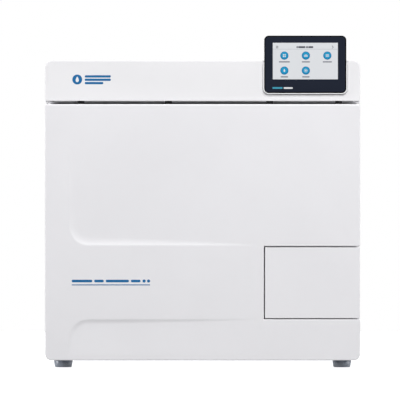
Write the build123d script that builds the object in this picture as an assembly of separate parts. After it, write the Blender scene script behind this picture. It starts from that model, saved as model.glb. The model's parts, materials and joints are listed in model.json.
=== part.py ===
"""Benchtop steam steriliser: housing, pressure chamber, swing door, lock, service flap,
tilting display, water tanks and the process parts inside.

X is to the right seen from the front, Y to the back and Z up, in millimetres.
The origin is on the bench, in the middle of the object's footprint.
"""
from build123d import *
import math
import os

# Overall size
WIDTH = 460.0
DEPTH = 610.0
HEIGHT = 486.0
HALF = WIDTH / 2
FRONT = -DEPTH / 2
BACK = DEPTH / 2

# Heights of the housing's bands
FOOT_H = 12.0
DOOR_TOP = 386.0
COVER_Z0 = 391.0
COVER_Z1 = 450.0
SHELF_TOP = 388.0

# Depths of the housing
FRAME_FRONT = -242.0
FRAME_BACK = -236.0
DOOR_BACK = -245.0
COVER_FRONT = FRONT + 5.0
HOUSING_BACK = 285.0
PANEL = 2.0
SHEET = 1.5
WALL = 3.0
CORNER = 9.0

# Pressure chamber, axis along Y
CH_X = -45.0
CH_Z = 236.0
CH_R = 125.0
CH_WALL = 3.0
CH_FRONT = -238.0
CH_LENGTH = 348.0
CH_DISH = 30.0
FLANGE_R = 146.0
FLANGE_FRONT = -244.0
INSULATION_R = 145.0

# Service flap in the lower right corner, and the door's cut-out round it
FLAP_X0 = 91.0
FLAP_X1 = 229.5
FLAP_Z0 = 73.5
FLAP_Z1 = 177.0
FLAP_GAP = 1.5
CUT_X0 = FLAP_X0 - FLAP_GAP
CUT_Z0 = FLAP_Z0 - FLAP_GAP
CUT_Z1 = FLAP_Z1 + FLAP_GAP
FLAP_AXIS = (222.0, -294.0)
FLAP_PIN_R = 2.0

# Service bay behind the flap
BAY_Y0 = -262.0
CONTROL_Z = 149.0
SWITCH_X = 116.0
ROCKER_TILT = 8.0
USB_X = 156.0
RESET_X = 190.0
RESET_R = 4.5
DRAIN_X = (124.0, 168.0)
DRAIN_Z = 103.0
DRAIN_R = 8.0

# Door hinge, vertical
DOOR_AXIS = (-218.0, -257.0)
DOOR_PIN_R = 4.0
BUSH_R = 6.2
DOOR_SWING_R = 12.0
BUSH_Z = ((24.0, 44.0), (358.0, 378.0))

# Pressure plate and the crossbar that carries it
PLATE_R = 138.0
BAR_Y0 = -292.0
BAR_Y1 = -274.0
BAR_Z0 = 216.0
BAR_Z1 = 256.0

# Door lock, vertical bolt behind the front frame
LOCK_X = 209.0
LOCK_Y = -220.0
BOLT_R = 5.0
SPINDLE_R = 3.0
TONGUE_Z0 = 230.0
TONGUE_Z1 = 236.0
LOCK_Z0 = 240.0
LOCK_Z1 = 306.0
BOLT_Z0 = 238.0
BOLT_Z1 = 288.0
SPINDLE_Z0 = 260.0
RUNNING = 0.05

# Display unit
DISP_X0 = 89.8
DISP_X1 = 209.8
DISP_Z0 = 402.0
DISP_FRONT = -303.0
DISP_BACK = -280.0
DISP_AXIS_Y = -286.0
DISP_AXIS_Z = 444.0
SHAFT_R = 4.0
ARM_X = (121.0, 171.0)
DISP_CORNER = 6.7
POCKET_GAP = 2.6
POCKET_STEP = 1.5
POCKET_FIT = 0.8
POCKET_BACK = -266.0

# Tank lid in the top cover
LID_X = 190.5
LID_Y0 = -181.0
LID_Y1 = 121.0
LID_AXIS_Y = 126.0
LID_AXIS_Z = 446.5
LID_PIN_R = 1.5
KNUCKLE_X = 150.0

# Water tanks on the shelf
TANK_X0 = 4.0
TANK_X1 = 215.0
TANK_Y = 178.0
TANK_TOP = 441.0
TANK_WALL = 2.5
FLOAT_Y = 120.0
FLOAT_STEM_R = 2.5

# Feet and tray positions
FOOT_X = 205.0
FOOT_Y = (-221.0, 255.0)
TRAY_LEVELS = (-42.0, -2.0, 38.0)

# Fields pressed into the door's face: the edge they start at, and where they fade out
FIELD_X = -195.0
FIELD_R = 29.0
UPPER_FIELD = {"z_edge": 180.0, "up": 1, "depth": 2.2, "slope": 11.0, "x_end": 87.0, "z_end": 320.0}
LOWER_FIELD = {"z_edge": 71.8, "up": -1, "depth": 1.6, "slope": 7.6, "x_end": 84.0, "z_end": 22.0}

# Process parts: centres in X and Y, or in X and Z where the part lies along Y
GENERATOR = (165.0, -150.0)
GENERATOR_TOP = 206.0
PUMP = (165.0, 84.0)
FEED_PUMP = (-178.0, 46.0)
FILTER = (-180.0, 215.0)
BOARD_X = 217.0
VALVE_ROW = (132.0, 72.0)
COOLER_X = (-150.0, 60.0)
COOLER_Y = (180.0, 226.0)
COOLER_Z = (96.0, 244.0)
SUPPLY_X = (126.0, 205.0)
SUPPLY_Y = (-60.0, 40.0)
SUPPLY_Z = (262.0, 318.0)

# Back of the housing
FAN_Z = 170.0
FAN_R = 54.0
INLET_X = 170.0
INLET_Z = 62.0
TAIL_X = (-180.0, -140.0)
TAIL_Z = 60.0
TAIL_R = 5.0
VALVE_X = 150.0
VALVE_Z = 330.0


def block(x0, x1, y0, y1, z0, z1):
    """A box between two corners."""
    centre = Pos((x0 + x1) / 2, (y0 + y1) / 2, (z0 + z1) / 2)
    return centre * Box(x1 - x0, y1 - y0, z1 - z0)


def rod_x(x0, x1, y, z, r):
    """A cylinder along X."""
    return Pos((x0 + x1) / 2, y, z) * Rot(0, 90, 0) * Cylinder(r, x1 - x0)


def rod_y(y0, y1, x, z, r):
    """A cylinder along Y."""
    return Pos(x, (y0 + y1) / 2, z) * Rot(90, 0, 0) * Cylinder(r, y1 - y0)


def rod_z(z0, z1, x, y, r):
    """A cylinder along Z."""
    return Pos(x, y, (z0 + z1) / 2) * Cylinder(r, z1 - z0)


def group(solids):
    """Separate solids that share one node."""
    return Compound(children=list(solids))


def rounded_block(x0, x1, y0, y1, z0, z1, radius, axis):
    """A box whose four edges along one axis are rounded."""
    body = block(x0, x1, y0, y1, z0, z1)
    return fillet(body.edges().filter_by(axis), radius)


def plate_xz(face, y0, y1):
    """A face drawn in X and Z, made solid from y0 back to y1."""
    return Pos(0, y0, 0) * extrude(Plane.XZ * face, amount=-(y1 - y0))


# ---------------------------------------------------------------- housing

def base_tray():
    """The folded steel floor of the housing, with two cradles for the insulated chamber."""
    edge = HALF - PANEL - 0.2
    outer = block(-edge, edge, FRAME_BACK + 0.2, HOUSING_BACK - PANEL - 0.2, FOOT_H, 34)
    outer = fillet(outer.edges().filter_by(Axis.Y).group_by(Axis.Z)[0], CORNER - PANEL)
    front, back = FRAME_BACK + 0.2 + SHEET, HOUSING_BACK - PANEL - 0.2 - SHEET
    inner = block(SHEET - edge, edge - SHEET, front, back, FOOT_H + SHEET, 35)
    inner = fillet(inner.edges().filter_by(Axis.Y).group_by(Axis.Z)[0], CORNER - PANEL - SHEET)
    tray = outer - inner
    drum_space = rod_y(-300, 300, CH_X, CH_Z, INSULATION_R + 0.2)
    for y in (-190, 50):
        tray += block(CH_X - 90, CH_X + 90, y, y + 4, FOOT_H + SHEET, 150) - drum_space
    return tray


def side_panel(side):
    """One side wall that starts above the tray's rounded edge, with ventilation slots at the back."""
    x0, x1 = sorted((side * HALF, side * (HALF - PANEL)))
    panel = block(x0, x1, FRAME_BACK, HOUSING_BACK, FOOT_H + CORNER, COVER_Z0)
    corner = panel.edges().filter_by(Axis.Z).group_by(Axis.Y)[-1]
    panel = fillet(corner.sort_by(Axis.X)[0 if side < 0 else -1], PANEL - 0.3)
    slots = [Pos(0, 90 + 13 * i, 110) * Box(3 * WIDTH, 5, 90) for i in range(12)]
    return panel - Part() - slots


def rear_panel():
    """The back wall, with the fan grille and the holes for the connectors."""
    edge = HALF - PANEL - 0.2
    panel = block(-edge, edge, HOUSING_BACK - PANEL, HOUSING_BACK, FOOT_H, COVER_Z0)
    panel = fillet(panel.edges().filter_by(Axis.Y).group_by(Axis.Z)[0], CORNER - PANEL)
    holes = []
    for i in range(-5, 6):
        for k in range(-5, 6):
            if math.hypot(i, k) <= 5.2:
                holes.append(rod_y(270, 290, CH_X + 10.5 * i, FAN_Z + 10.5 * k, 4))
    cuts = block(INLET_X - 15.2, INLET_X + 15.2, 270, 290, INLET_Z - 10.2, INLET_Z + 10.2)
    tails = [rod_y(270, 290, x, TAIL_Z, TAIL_R + 3.2) for x in TAIL_X]
    valve = rod_y(270, 290, VALVE_X, VALVE_Z, 8.2)
    return panel - holes - [cuts, valve] - tails


def front_frame():
    """The front wall behind the door, open round the chamber and for the lock's tongue."""
    frame = block(-HALF, HALF, FRAME_FRONT, FRAME_BACK, FOOT_H, COVER_Z0)
    frame = fillet(frame.edges().filter_by(Axis.Y).group_by(Axis.Z)[0], CORNER)
    left_edge = frame.edges().filter_by(Axis.Z).group_by(Axis.Y)[0].sort_by(Axis.X)[0]
    frame = chamfer(left_edge, 4)
    mouth = rod_y(FRAME_FRONT - 5, FRAME_BACK + 5, CH_X, CH_Z, FLANGE_R + 1)
    slot = block(LOCK_X - 14, LOCK_X + 14, FRAME_FRONT - 5, FRAME_BACK + 5, TONGUE_Z0 - 8, TONGUE_Z1 + 3.8)
    return frame - mouth - slot


def pocket_space(gap, y1):
    """The room that the hood leaves round the display, as far back as y1."""
    return rounded_block(DISP_X0 - gap, DISP_X1 + gap, COVER_FRONT - 5, y1,
                         DISP_Z0 - gap, HEIGHT + gap, DISP_CORNER + gap, Axis.Y)


def top_cover():
    """The white hood over the tanks, with the display's pocket and the lid's opening."""
    hood = block(-HALF, HALF, COVER_FRONT, HOUSING_BACK, COVER_Z0, COVER_Z1)
    hood = fillet(hood.edges().filter_by(Axis.Y).group_by(Axis.Z)[-1], 10)
    front = hood.faces().sort_by(Axis.Y)[0]
    bottom = front.edges().sort_by(Axis.Z)[0]
    hood = fillet([e for e in front.edges() if e.center().Z > bottom.center().Z + 1], 1.5)
    inside = HALF - WALL
    top = COVER_Z1 - WALL
    hood -= block(-inside, inside, FRAME_FRONT + 3, HOUSING_BACK - WALL, COVER_Z0 - 1, top)
    hood -= block(-inside, inside, COVER_FRONT + WALL, FRAME_FRONT, COVER_Z0 + WALL, top)
    x0, x1 = DISP_X0 - POCKET_GAP, DISP_X1 + POCKET_GAP
    hood += block(x0 - WALL, x1 + WALL, COVER_FRONT + 1, POCKET_BACK + WALL, COVER_Z0, top)
    hood -= pocket_space(POCKET_GAP, COVER_FRONT + POCKET_STEP)
    hood -= pocket_space(POCKET_FIT, POCKET_BACK)
    hood += block(-LID_X - 5, LID_X + 5, LID_Y0 - 5, LID_AXIS_Y + 6, LID_AXIS_Z - 3.5, top)
    hood -= block(-LID_X + 6, LID_X - 6, LID_Y0 + 6, LID_Y1 - 6, LID_AXIS_Z - 5, COVER_Z1 + 5)
    hood -= block(-LID_X - 1, LID_X + 1, LID_Y0 - 1, LID_AXIS_Y + 3.5, top - 0.3, COVER_Z1 + 5)
    for side in (-1, 1):
        x = side * KNUCKLE_X
        hood -= block(x - 10.5, x + 10.5, LID_Y1 - 8, LID_AXIS_Y + 3.6, LID_AXIS_Z - 5, COVER_Z1 + 5)
        for end in (-1, 1):
            a, b = sorted((x + end * 10.5, x + end * 16))
            hood += block(a, b, LID_AXIS_Y - 3, LID_AXIS_Y + 3, LID_AXIS_Z - 3.5, LID_AXIS_Z + 2.8)
        hood -= rod_x(x - 16.5, x + 16.5, LID_AXIS_Y, LID_AXIS_Z, LID_PIN_R + RUNNING)
    return hood


def tank_shelf():
    """The sheet shelf above the chamber that carries both tanks."""
    edge = HALF - PANEL - 0.2
    shelf = block(-edge, edge, FRAME_BACK + 0.2, HOUSING_BACK - PANEL - 0.2, SHELF_TOP - SHEET, SHELF_TOP)
    return shelf - block(100, 200, 195, 260, SHELF_TOP - 5, SHELF_TOP + 5)


def feet():
    """Four tapered rubber feet."""
    one = Cone(bottom_radius=12, top_radius=14, height=FOOT_H)
    return group(Pos(x, y, FOOT_H / 2) * one for x in (-FOOT_X, FOOT_X) for y in FOOT_Y)


def cover_buffers():
    """Four rubber blocks under the hood that the closed door rests beneath."""
    places = (-178.0, -50.0, 98.0, 199.0)
    return group(block(x - 5, x + 5, -290, -262, DOOR_TOP + 1.2, COVER_Z0) for x in places)


def hinge_brackets():
    """The lower and upper hinge brackets on the front frame, each with its welded pin."""
    x, y = DOOR_AXIS
    brackets = []
    for (z0, z1), pin in (((14.5, 18.5), (18.5, 44.0)), ((386.6, 390.6), (358.0, 386.6))):
        arm = block(x - 10, x + 10, y, FRAME_FRONT, z0, z1) + rod_z(z0, z1, x, y, 10)
        brackets.append(arm + rod_z(*pin, x, y, DOOR_PIN_R))
    return group(brackets)


def display_bracket():
    """The fixed bracket in the pocket, with two arms that hold the display's shaft."""
    plate = block(115, 185, POCKET_BACK - 2, POCKET_BACK, 430, 449)
    for x in ARM_X:
        plate += block(x, x + 8, DISP_AXIS_Y, POCKET_BACK - 2, DISP_AXIS_Z - 6, DISP_AXIS_Z + 6)
        plate += rod_x(x, x + 8, DISP_AXIS_Y, DISP_AXIS_Z, 6)
        plate -= rod_x(x - 1, x + 9, DISP_AXIS_Y, DISP_AXIS_Z, SHAFT_R + RUNNING)
    return plate


# ---------------------------------------------------------------- chamber

def dome_fall(r, rim, rise):
    """How far a spherical dome of this rim radius and rise has fallen at radius r."""
    sphere = (rim * rim + rise * rise) / (2 * rise)
    return sphere - math.sqrt(sphere * sphere - r * r)


def turned(edges):
    """A solid turned about the chamber's axis from an outline drawn in radius and Y."""
    return Pos(CH_X, 0, CH_Z) * revolve(make_face(edges), Axis.Y)


def drum(r, y0, y1, dish):
    """A drum on the chamber's axis, flat at y0 and dished outwards beyond y1."""
    apex = y1 + dish
    wall = Polyline((0, apex, 0), (0, y0, 0), (r, y0, 0), (r, y1, 0))
    cap = ThreePointArc((r, y1, 0), (r / 2, apex - dome_fall(r / 2, r, dish), 0), (0, apex, 0))
    return turned([wall, cap])


def chamber_vessel():
    """The stainless pressure vessel with its welded sealing flange, open to the front."""
    y1 = CH_FRONT + CH_LENGTH
    outer = drum(CH_R + CH_WALL, CH_FRONT, y1, CH_DISH)
    outer += rod_y(FLANGE_FRONT, CH_FRONT, CH_X, CH_Z, FLANGE_R)
    return outer - drum(CH_R, FLANGE_FRONT - 5, y1, CH_DISH - CH_WALL)


def ring_y(y0, y1, r_out, r_in):
    """A ring on the chamber's axis."""
    return rod_y(y0, y1, CH_X, CH_Z, r_out) - rod_y(y0 - 1, y1 + 1, CH_X, CH_Z, r_in)


def tray_rack():
    """The sheet rack in the chamber: two sides with ledges, a floor and two skids."""
    y0, y1 = -222.0, 84.0
    z0 = CH_Z - 62
    rack = block(CH_X - 96, CH_X + 96, y0, y1, z0, z0 + 1.5)
    for slot in range(5):
        y = y0 + 28 + 58 * slot
        rack -= block(CH_X - 70, CH_X + 70, y, y + 20, z0 - 1, z0 + 3)
    for side in (-1, 1):
        a, b = sorted((CH_X + side * 94.5, CH_X + side * 96))
        rack += block(a, b, y0, y1, z0, CH_Z + 62)
        for level in TRAY_LEVELS:
            a, b = sorted((CH_X + side * 95, CH_X + side * 87))
            rack += block(a, b, y0, y1, CH_Z + level - 1.5, CH_Z + level)
        a, b = sorted((CH_X + side * 58, CH_X + side * 60))
        rack += block(a, b, y0 + 10, y1 - 10, CH_Z - 109, z0)
    return rack


def tray(level):
    """One perforated instrument tray that rests on the rack's ledges."""
    z = CH_Z + level
    half, y0, y1 = 93.0, -220.0, 80.0
    rim = block(CH_X - half, CH_X + half, y0, y1, z + 0.2, z + 1.4)
    pan = block(CH_X - 86, CH_X + 86, y0 + 4, y1 - 4, z - 16, z + 1.4)
    hollow = block(CH_X - 84.8, CH_X + 84.8, y0 + 5.2, y1 - 5.2, z - 14.8, z + 3)
    holes = [Pos(CH_X + 21 * i, -70 + 22 * k, z - 15.4) * Cylinder(3, 4)
             for i in range(-3, 4) for k in range(-6, 7)]
    return rim + pan - hollow - holes


# ---------------------------------------------------------------- door

def door_outline(inset):
    """The door seen from the front, notched for the service flap, drawn in a little."""
    height = DOOR_TOP - FOOT_H
    body = Pos(0, FOOT_H + height / 2) * Rectangle(WIDTH - 2 * inset, height - 2 * inset)
    body = fillet(body.vertices().group_by(Axis.Y)[0], 9.6 - inset)
    x0, x1 = CUT_X0 - inset, HALF + 20
    z0, z1 = CUT_Z0 - inset, CUT_Z1 + inset
    return body - Pos((x0 + x1) / 2, (z0 + z1) / 2) * Rectangle(x1 - x0, z1 - z0)


def relief(z_edge, up, depth, slope, x_end, z_end):
    """The shallow field pressed into the door: deepest at its left corner, gone at x_end and z_end."""
    far_x, far_z = HALF + 60, z_edge + up * HEIGHT
    to_bend = 1 - math.sqrt(0.5)
    layers = []
    for inset, y in ((0, 0), (slope, depth)):
        x0, z0 = FIELD_X + inset, z_edge + up * inset
        r = FIELD_R - inset
        start, bend, end = (x0, z0 + up * r), (x0 + to_bend * r, z0 + up * to_bend * r), (x0 + r, z0)
        outline = [
            ThreePointArc(start, bend, end),
            Polyline(end, (far_x, z0), (far_x, far_z), (x0, far_z), start),
        ]
        layers.append(Pos(0, FRONT + y, 0) * (Plane.XZ * make_face(outline)))
    pocket = loft(layers, ruled=True)
    floor_x = Vector(x_end - FIELD_X, -depth, 0)
    floor_z = Vector(0, -depth, z_end - z_edge)
    normal = floor_x.cross(floor_z).normalized()
    if normal.Y > 0:
        normal = -normal
    floor = Plane(origin=(FIELD_X, FRONT + depth, z_edge), z_dir=normal)
    above = extrude(floor * Rectangle(5 * DEPTH, 5 * DEPTH), amount=DEPTH)
    return pocket & above


def door_shell():
    """The white outer shell of the door, with its pressed-in fields and rounded hinge corner."""
    ax, ay = DOOR_AXIS
    solid = plate_xz(door_outline(0), FRONT, DOOR_BACK)
    corner = solid.edges().filter_by(Axis.Z).group_by(Axis.X)[0].sort_by(Axis.Y)[-1]
    solid = fillet(corner, DOOR_SWING_R - 0.01)
    hollow = plate_xz(door_outline(WALL), FRONT + 6.5, DOOR_BACK + 1)
    keep = block(-HALF, ax, ay, DOOR_BACK + 2, 0, COVER_Z0) - rod_z(-1, 400, ax, ay, DOOR_SWING_R - WALL)
    shell = solid - (hollow - keep)
    shell -= relief(**UPPER_FIELD)
    shell -= relief(**LOWER_FIELD)
    shell -= block(-HALF - 1, ax + 15, ay - 14, DOOR_BACK + 1, FOOT_H - 1, 19.5)
    return shell - rod_z(DOOR_TOP - 5, DOOR_TOP + 5, ax, ay, DOOR_PIN_R + 1)


def door_liner():
    """The grey back plate of the door, open round the pressure plate and the tongue."""
    liner = plate_xz(door_outline(WALL + 0.2), DOOR_BACK - 3, DOOR_BACK)
    liner -= block(-HALF, DOOR_AXIS[0] + 16, DOOR_BACK - 5, DOOR_BACK + 5, 0, COVER_Z0)
    liner -= rod_y(DOOR_BACK - 5, DOOR_BACK + 5, CH_X, CH_Z, PLATE_R + 4)
    return liner - block(LOCK_X - 11, LOCK_X + 11, DOOR_BACK - 5, DOOR_BACK + 5, TONGUE_Z0 - 4, TONGUE_Z1 + 4)


def door_frame():
    """The steel hinge post and crossbar that carry the pressure plate."""
    ax, ay = DOOR_AXIS
    post = block(ax - 8.8, ax + 12, ay - 9, ay + 8.8, BUSH_Z[0][0], BUSH_Z[1][1])
    corner = post.edges().filter_by(Axis.Z).group_by(Axis.X)[0].sort_by(Axis.Y)[-1]
    post = fillet(corner, 8.7)
    post += block(ax - 8.8, ax + 12, BAR_Y0, ay - 9, BAR_Z0, BAR_Z1)
    for z0, z1 in BUSH_Z:
        post -= rod_z(z0 - 1, z1 + 1, ax, ay, BUSH_R)
    bar = block(ax + 12, 219, BAR_Y0, BAR_Y1, BAR_Z0, BAR_Z1)
    bar -= block(ax + 16, 223, BAR_Y0 + 3, BAR_Y1 - 3, BAR_Z0 + 3, BAR_Z1 - 3)
    return post + bar - rod_y(BAR_Y0 - 1, BAR_Y1 + 1, CH_X, CH_Z, 6.4)


def hinge_bushes():
    """Bronze bushes in the post's two ends."""
    x, y = DOOR_AXIS
    return group(rod_z(z0, z1, x, y, BUSH_R) - rod_z(z0 - 1, z1 + 1, x, y, DOOR_PIN_R + RUNNING)
                 for z0, z1 in BUSH_Z)


def pressure_plate():
    """The domed steel lid of the chamber, with its central stud."""
    back_y, rim_y, stud_r = DOOR_BACK - 3, DOOR_BACK - 11, 6
    rim, rise, inner, hollow = 110, 14, 104, 15
    apex, inner_apex = rim_y - rise, back_y - hollow
    front = ThreePointArc(
        (stud_r, apex + dome_fall(stud_r, rim, rise), 0),
        (rim / 2, apex + dome_fall(rim / 2, rim, rise), 0),
        (rim, rim_y, 0))
    edge = Polyline((rim, rim_y, 0), (PLATE_R, rim_y, 0), (PLATE_R, back_y, 0), (inner, back_y, 0))
    back = ThreePointArc(
        (inner, back_y, 0),
        (inner / 2, inner_apex + dome_fall(inner / 2, inner, hollow), 0),
        (0, inner_apex, 0))
    stud = Polyline((0, inner_apex, 0), (0, BAR_Y0 - 5.5, 0), (stud_r, BAR_Y0 - 5.5, 0),
                    (stud_r, apex + dome_fall(stud_r, rim, rise), 0))
    return turned([front, edge, back, stud])


def striker():
    """The tongue on the crossbar that the lock's bolt drops into."""
    foot_plate = block(LOCK_X - 12, LOCK_X + 10, BAR_Y1, BAR_Y1 + 3, BAR_Z0 + 4, BAR_Z1 - 4)
    tongue = block(LOCK_X - 8, LOCK_X + 8, BAR_Y1 + 3, LOCK_Y + 13, TONGUE_Z0, TONGUE_Z1)
    tongue = fillet(tongue.edges().filter_by(Axis.Z).group_by(Axis.Y)[-1], 5)
    return foot_plate + tongue - rod_z(TONGUE_Z0 - 1, TONGUE_Z1 + 1, LOCK_X, LOCK_Y, BOLT_R + 1)


# ---------------------------------------------------------------- lock

def lock_housing():
    """The die-cast block that guides the bolt and holds the spindle's collar."""
    body = block(LOCK_X - 14, LOCK_X + 14, FRAME_BACK, LOCK_Y + 14, LOCK_Z0, LOCK_Z1)
    body -= rod_z(LOCK_Z0 - 1, BOLT_Z1 + 2, LOCK_X, LOCK_Y, BOLT_R + RUNNING)
    return body - rod_z(BOLT_Z1 + 2, LOCK_Z1 + 1, LOCK_X, LOCK_Y, 8)


def lock_bolt():
    """The locking bolt, bored from above for the spindle."""
    bolt = rod_z(BOLT_Z0, BOLT_Z1, LOCK_X, LOCK_Y, BOLT_R)
    bolt = chamfer(bolt.edges().group_by(Axis.Z)[0], 1)
    return bolt - rod_z(BOLT_Z0 + 20, BOLT_Z1 + 1, LOCK_X, LOCK_Y, SPINDLE_R + RUNNING)


def lock_spindle():
    """The leadscrew between the motor and the bolt, with its collar."""
    spindle = rod_z(SPINDLE_Z0, LOCK_Z1 - 0.4, LOCK_X, LOCK_Y, SPINDLE_R)
    return spindle + rod_z(LOCK_Z1 - 10, LOCK_Z1 - 4, LOCK_X, LOCK_Y, 7)


def lock_motor():
    """The lock's gear motor on top of its housing."""
    gearbox = block(LOCK_X - 13, LOCK_X + 13, LOCK_Y - 13, LOCK_Y + 13, LOCK_Z1, LOCK_Z1 + 18)
    return gearbox + rod_z(LOCK_Z1 + 18, LOCK_Z1 + 48, LOCK_X, LOCK_Y, 12)


# ---------------------------------------------------------------- service bay

def service_box():
    """The fixed bay behind the flap: its walls, its control panel and the flap's two pivot arms."""
    x0, x1 = FLAP_X0 + 0.5, FLAP_X1
    z0, z1 = FLAP_Z0 + 1, FLAP_Z1 - 1
    ax, ay = FLAP_AXIS
    shoulder_x, shoulder_y = ax - 14, ay + 14
    box = block(x0, x1, shoulder_y, FRAME_FRONT, z0, z1)
    box += block(x0, shoulder_x, COVER_FRONT, shoulder_y, z0, z1)
    box -= block(x0 + WALL, shoulder_x - WALL, COVER_FRONT - 1, BAY_Y0, z0 + WALL, z1 - WALL)
    box -= block(shoulder_x - WALL, x1 - WALL, shoulder_y + WALL, BAY_Y0, z0 + WALL, z1 - WALL)
    box -= block(x0 + WALL, x1 - WALL, BAY_Y0 + WALL, FRAME_FRONT - WALL, z0 + WALL, z1 - WALL)
    for a, b in ((z0, z0 + 4), (z1 - 4, z1)):
        box += block(shoulder_x - 2, ax, ay - 4, ay + 0.6, a, b) + rod_z(a, b, ax, ay, 4)
        box -= rod_z(a - 1, b + 1, ax, ay, FLAP_PIN_R + RUNNING)
    box -= block(SWITCH_X - 10, SWITCH_X + 10, BAY_Y0 - 1, BAY_Y0 + 4, CONTROL_Z - 13, CONTROL_Z + 13)
    box -= block(USB_X - 7.7, USB_X + 7.7, BAY_Y0 - 1, BAY_Y0 + 4, CONTROL_Z - 4.2, CONTROL_Z + 4.2)
    box -= rod_y(BAY_Y0 - 1, BAY_Y0 + 4, RESET_X, CONTROL_Z, RESET_R + 0.4)
    for x in DRAIN_X:
        box -= rod_y(BAY_Y0 - 1, BAY_Y0 + 4, x, DRAIN_Z, DRAIN_R + 0.2)
    return box


def service_flap():
    """The flap over the service bay, with its side return, pivot lugs and moulded pivot pins."""
    ax, ay = FLAP_AXIS
    flap = block(FLAP_X0, FLAP_X1, FRONT, FRONT + 4, FLAP_Z0, FLAP_Z1)
    flap += block(FLAP_X1 - 3, FLAP_X1, FRONT + 3, ay + 8, FLAP_Z0, FLAP_Z1)
    for a, b, pin_z0, pin_z1 in ((79, 86, 74.8, 80), (164.5, 171.5, 170, 175.7)):
        flap += block(ax - 4, FLAP_X1 - 2, FRONT + 3, ay + 4, a, b)
        flap += rod_z(pin_z0, pin_z1, ax, ay, FLAP_PIN_R)
    return flap


def mains_switch_frame():
    """The rocker switch's frame and body."""
    x, z = SWITCH_X, CONTROL_Z
    frame = block(x - 12, x + 12, BAY_Y0 - 3, BAY_Y0, z - 15, z + 15)
    frame += block(x - 9.8, x + 9.8, BAY_Y0, BAY_Y0 + 14, z - 12.8, z + 12.8)
    frame -= block(x - 8, x + 8, BAY_Y0 - 4, BAY_Y0 + 10, z - 11, z + 11)
    return frame - rod_x(x - 9, x + 9, BAY_Y0 + 2, z, 1.5 + RUNNING)


def mains_rocker():
    """The mains switch's rocker in its off position, with its two trunnions."""
    x = SWITCH_X
    rocker = block(x - 7.7, x + 7.7, -7, 3, -9.6, 9.6)
    rocker -= rod_x(x - 9, x + 9, -26, 0, 20)
    rocker += rod_x(x - 8.9, x + 8.9, 0, 0, 1.5)
    return Pos(0, BAY_Y0 + 2, CONTROL_Z) * Rot(-ROCKER_TILT, 0, 0) * rocker


def reset_button():
    """The sprung reset button of the overload cut-out."""
    cap = rod_y(BAY_Y0 - 8, BAY_Y0 + 10, RESET_X, CONTROL_Z, RESET_R)
    return cap + rod_y(BAY_Y0 + 7, BAY_Y0 + 10, RESET_X, CONTROL_Z, RESET_R + 1.5)


def usb_socket():
    """The data socket's shell, with its contact tongue."""
    x, z = USB_X, CONTROL_Z
    socket = block(x - 7.5, x + 7.5, BAY_Y0 - 2, BAY_Y0 + 14, z - 4, z + 4)
    socket -= block(x - 6.3, x + 6.3, BAY_Y0 - 3, BAY_Y0 + 12, z - 2.8, z + 2.8)
    return socket + block(x - 5.2, x + 5.2, BAY_Y0 - 0.5, BAY_Y0 + 12.5, z + 0.6, z + 2.4)


def drain_couplings():
    """The two drain spigots in the service bay."""
    return group(rod_y(BAY_Y0 - 14, BAY_Y0 + 14, x, DRAIN_Z, DRAIN_R)
                 + rod_y(BAY_Y0 - 2, BAY_Y0, x, DRAIN_Z, DRAIN_R + 4) for x in DRAIN_X)


def drain_cap(x):
    """A quarter-turn cap with a grip bar, on its spigot."""
    cap = rod_y(BAY_Y0 - 24, BAY_Y0 - 2.4, x, DRAIN_Z, DRAIN_R + 3.5)
    cap -= rod_y(BAY_Y0 - 14.3, BAY_Y0, x, DRAIN_Z, DRAIN_R + RUNNING)
    return cap + block(x - 3, x + 3, BAY_Y0 - 31, BAY_Y0 - 23, DRAIN_Z - 11, DRAIN_Z + 11)


# ---------------------------------------------------------------- display

def display_glass():
    """The dark front glass of the display."""
    return rounded_block(DISP_X0, DISP_X1, DISP_FRONT, DISP_FRONT + 3, DISP_Z0, HEIGHT, DISP_CORNER, Axis.Y)


def display_shell():
    """The white back shell, with two bosses for the shaft and slots for the bracket's arms."""
    x0, x1, z0, z1 = DISP_X0 + 0.6, DISP_X1 - 0.6, DISP_Z0 + 0.6, HEIGHT - 0.6
    y0 = DISP_FRONT + 3
    shell = rounded_block(x0, x1, y0, DISP_BACK, z0, z1, DISP_CORNER - 0.6, Axis.Y)
    rim = shell.faces().sort_by(Axis.Y)[-1].edges()
    shell = fillet(rim, 3)
    shell -= rounded_block(x0 + 2, x1 - 2, y0 - 1, DISP_BACK - 2, z0 + 2, z1 - 2, DISP_CORNER - 2.6, Axis.Y)
    for x in ARM_X:
        shell -= block(x - 1.5, x + 9.5, DISP_BACK - 3, DISP_BACK + 1, DISP_AXIS_Z - 7.5, DISP_AXIS_Z + 17)
    for x in (ARM_X[0] - 11, ARM_X[1] + 11):
        shell += block(x, x + 8, DISP_AXIS_Y - 6, DISP_BACK - 2, DISP_AXIS_Z - 7, DISP_AXIS_Z + 7)
        shell -= rod_x(x - 1, x + 9, DISP_AXIS_Y, DISP_AXIS_Z, SHAFT_R)
    return shell


def display_module():
    """The liquid crystal panel with its driver board behind it."""
    y0 = DISP_FRONT + 3
    module = block(DISP_X0 + 8.5, DISP_X1 - 8.5, y0 + 0.3, y0 + 4, DISP_Z0 + 17, HEIGHT - 7)
    module += block(DISP_X0 + 12, DISP_X1 - 12, y0 + 4, y0 + 5.6, DISP_Z0 + 10, HEIGHT - 12)
    return module


def display_shaft():
    """The steel shaft that the display tilts on."""
    return rod_x(ARM_X[0] - 11, ARM_X[1] + 19, DISP_AXIS_Y, DISP_AXIS_Z, SHAFT_R)


# ---------------------------------------------------------------- water

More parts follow.
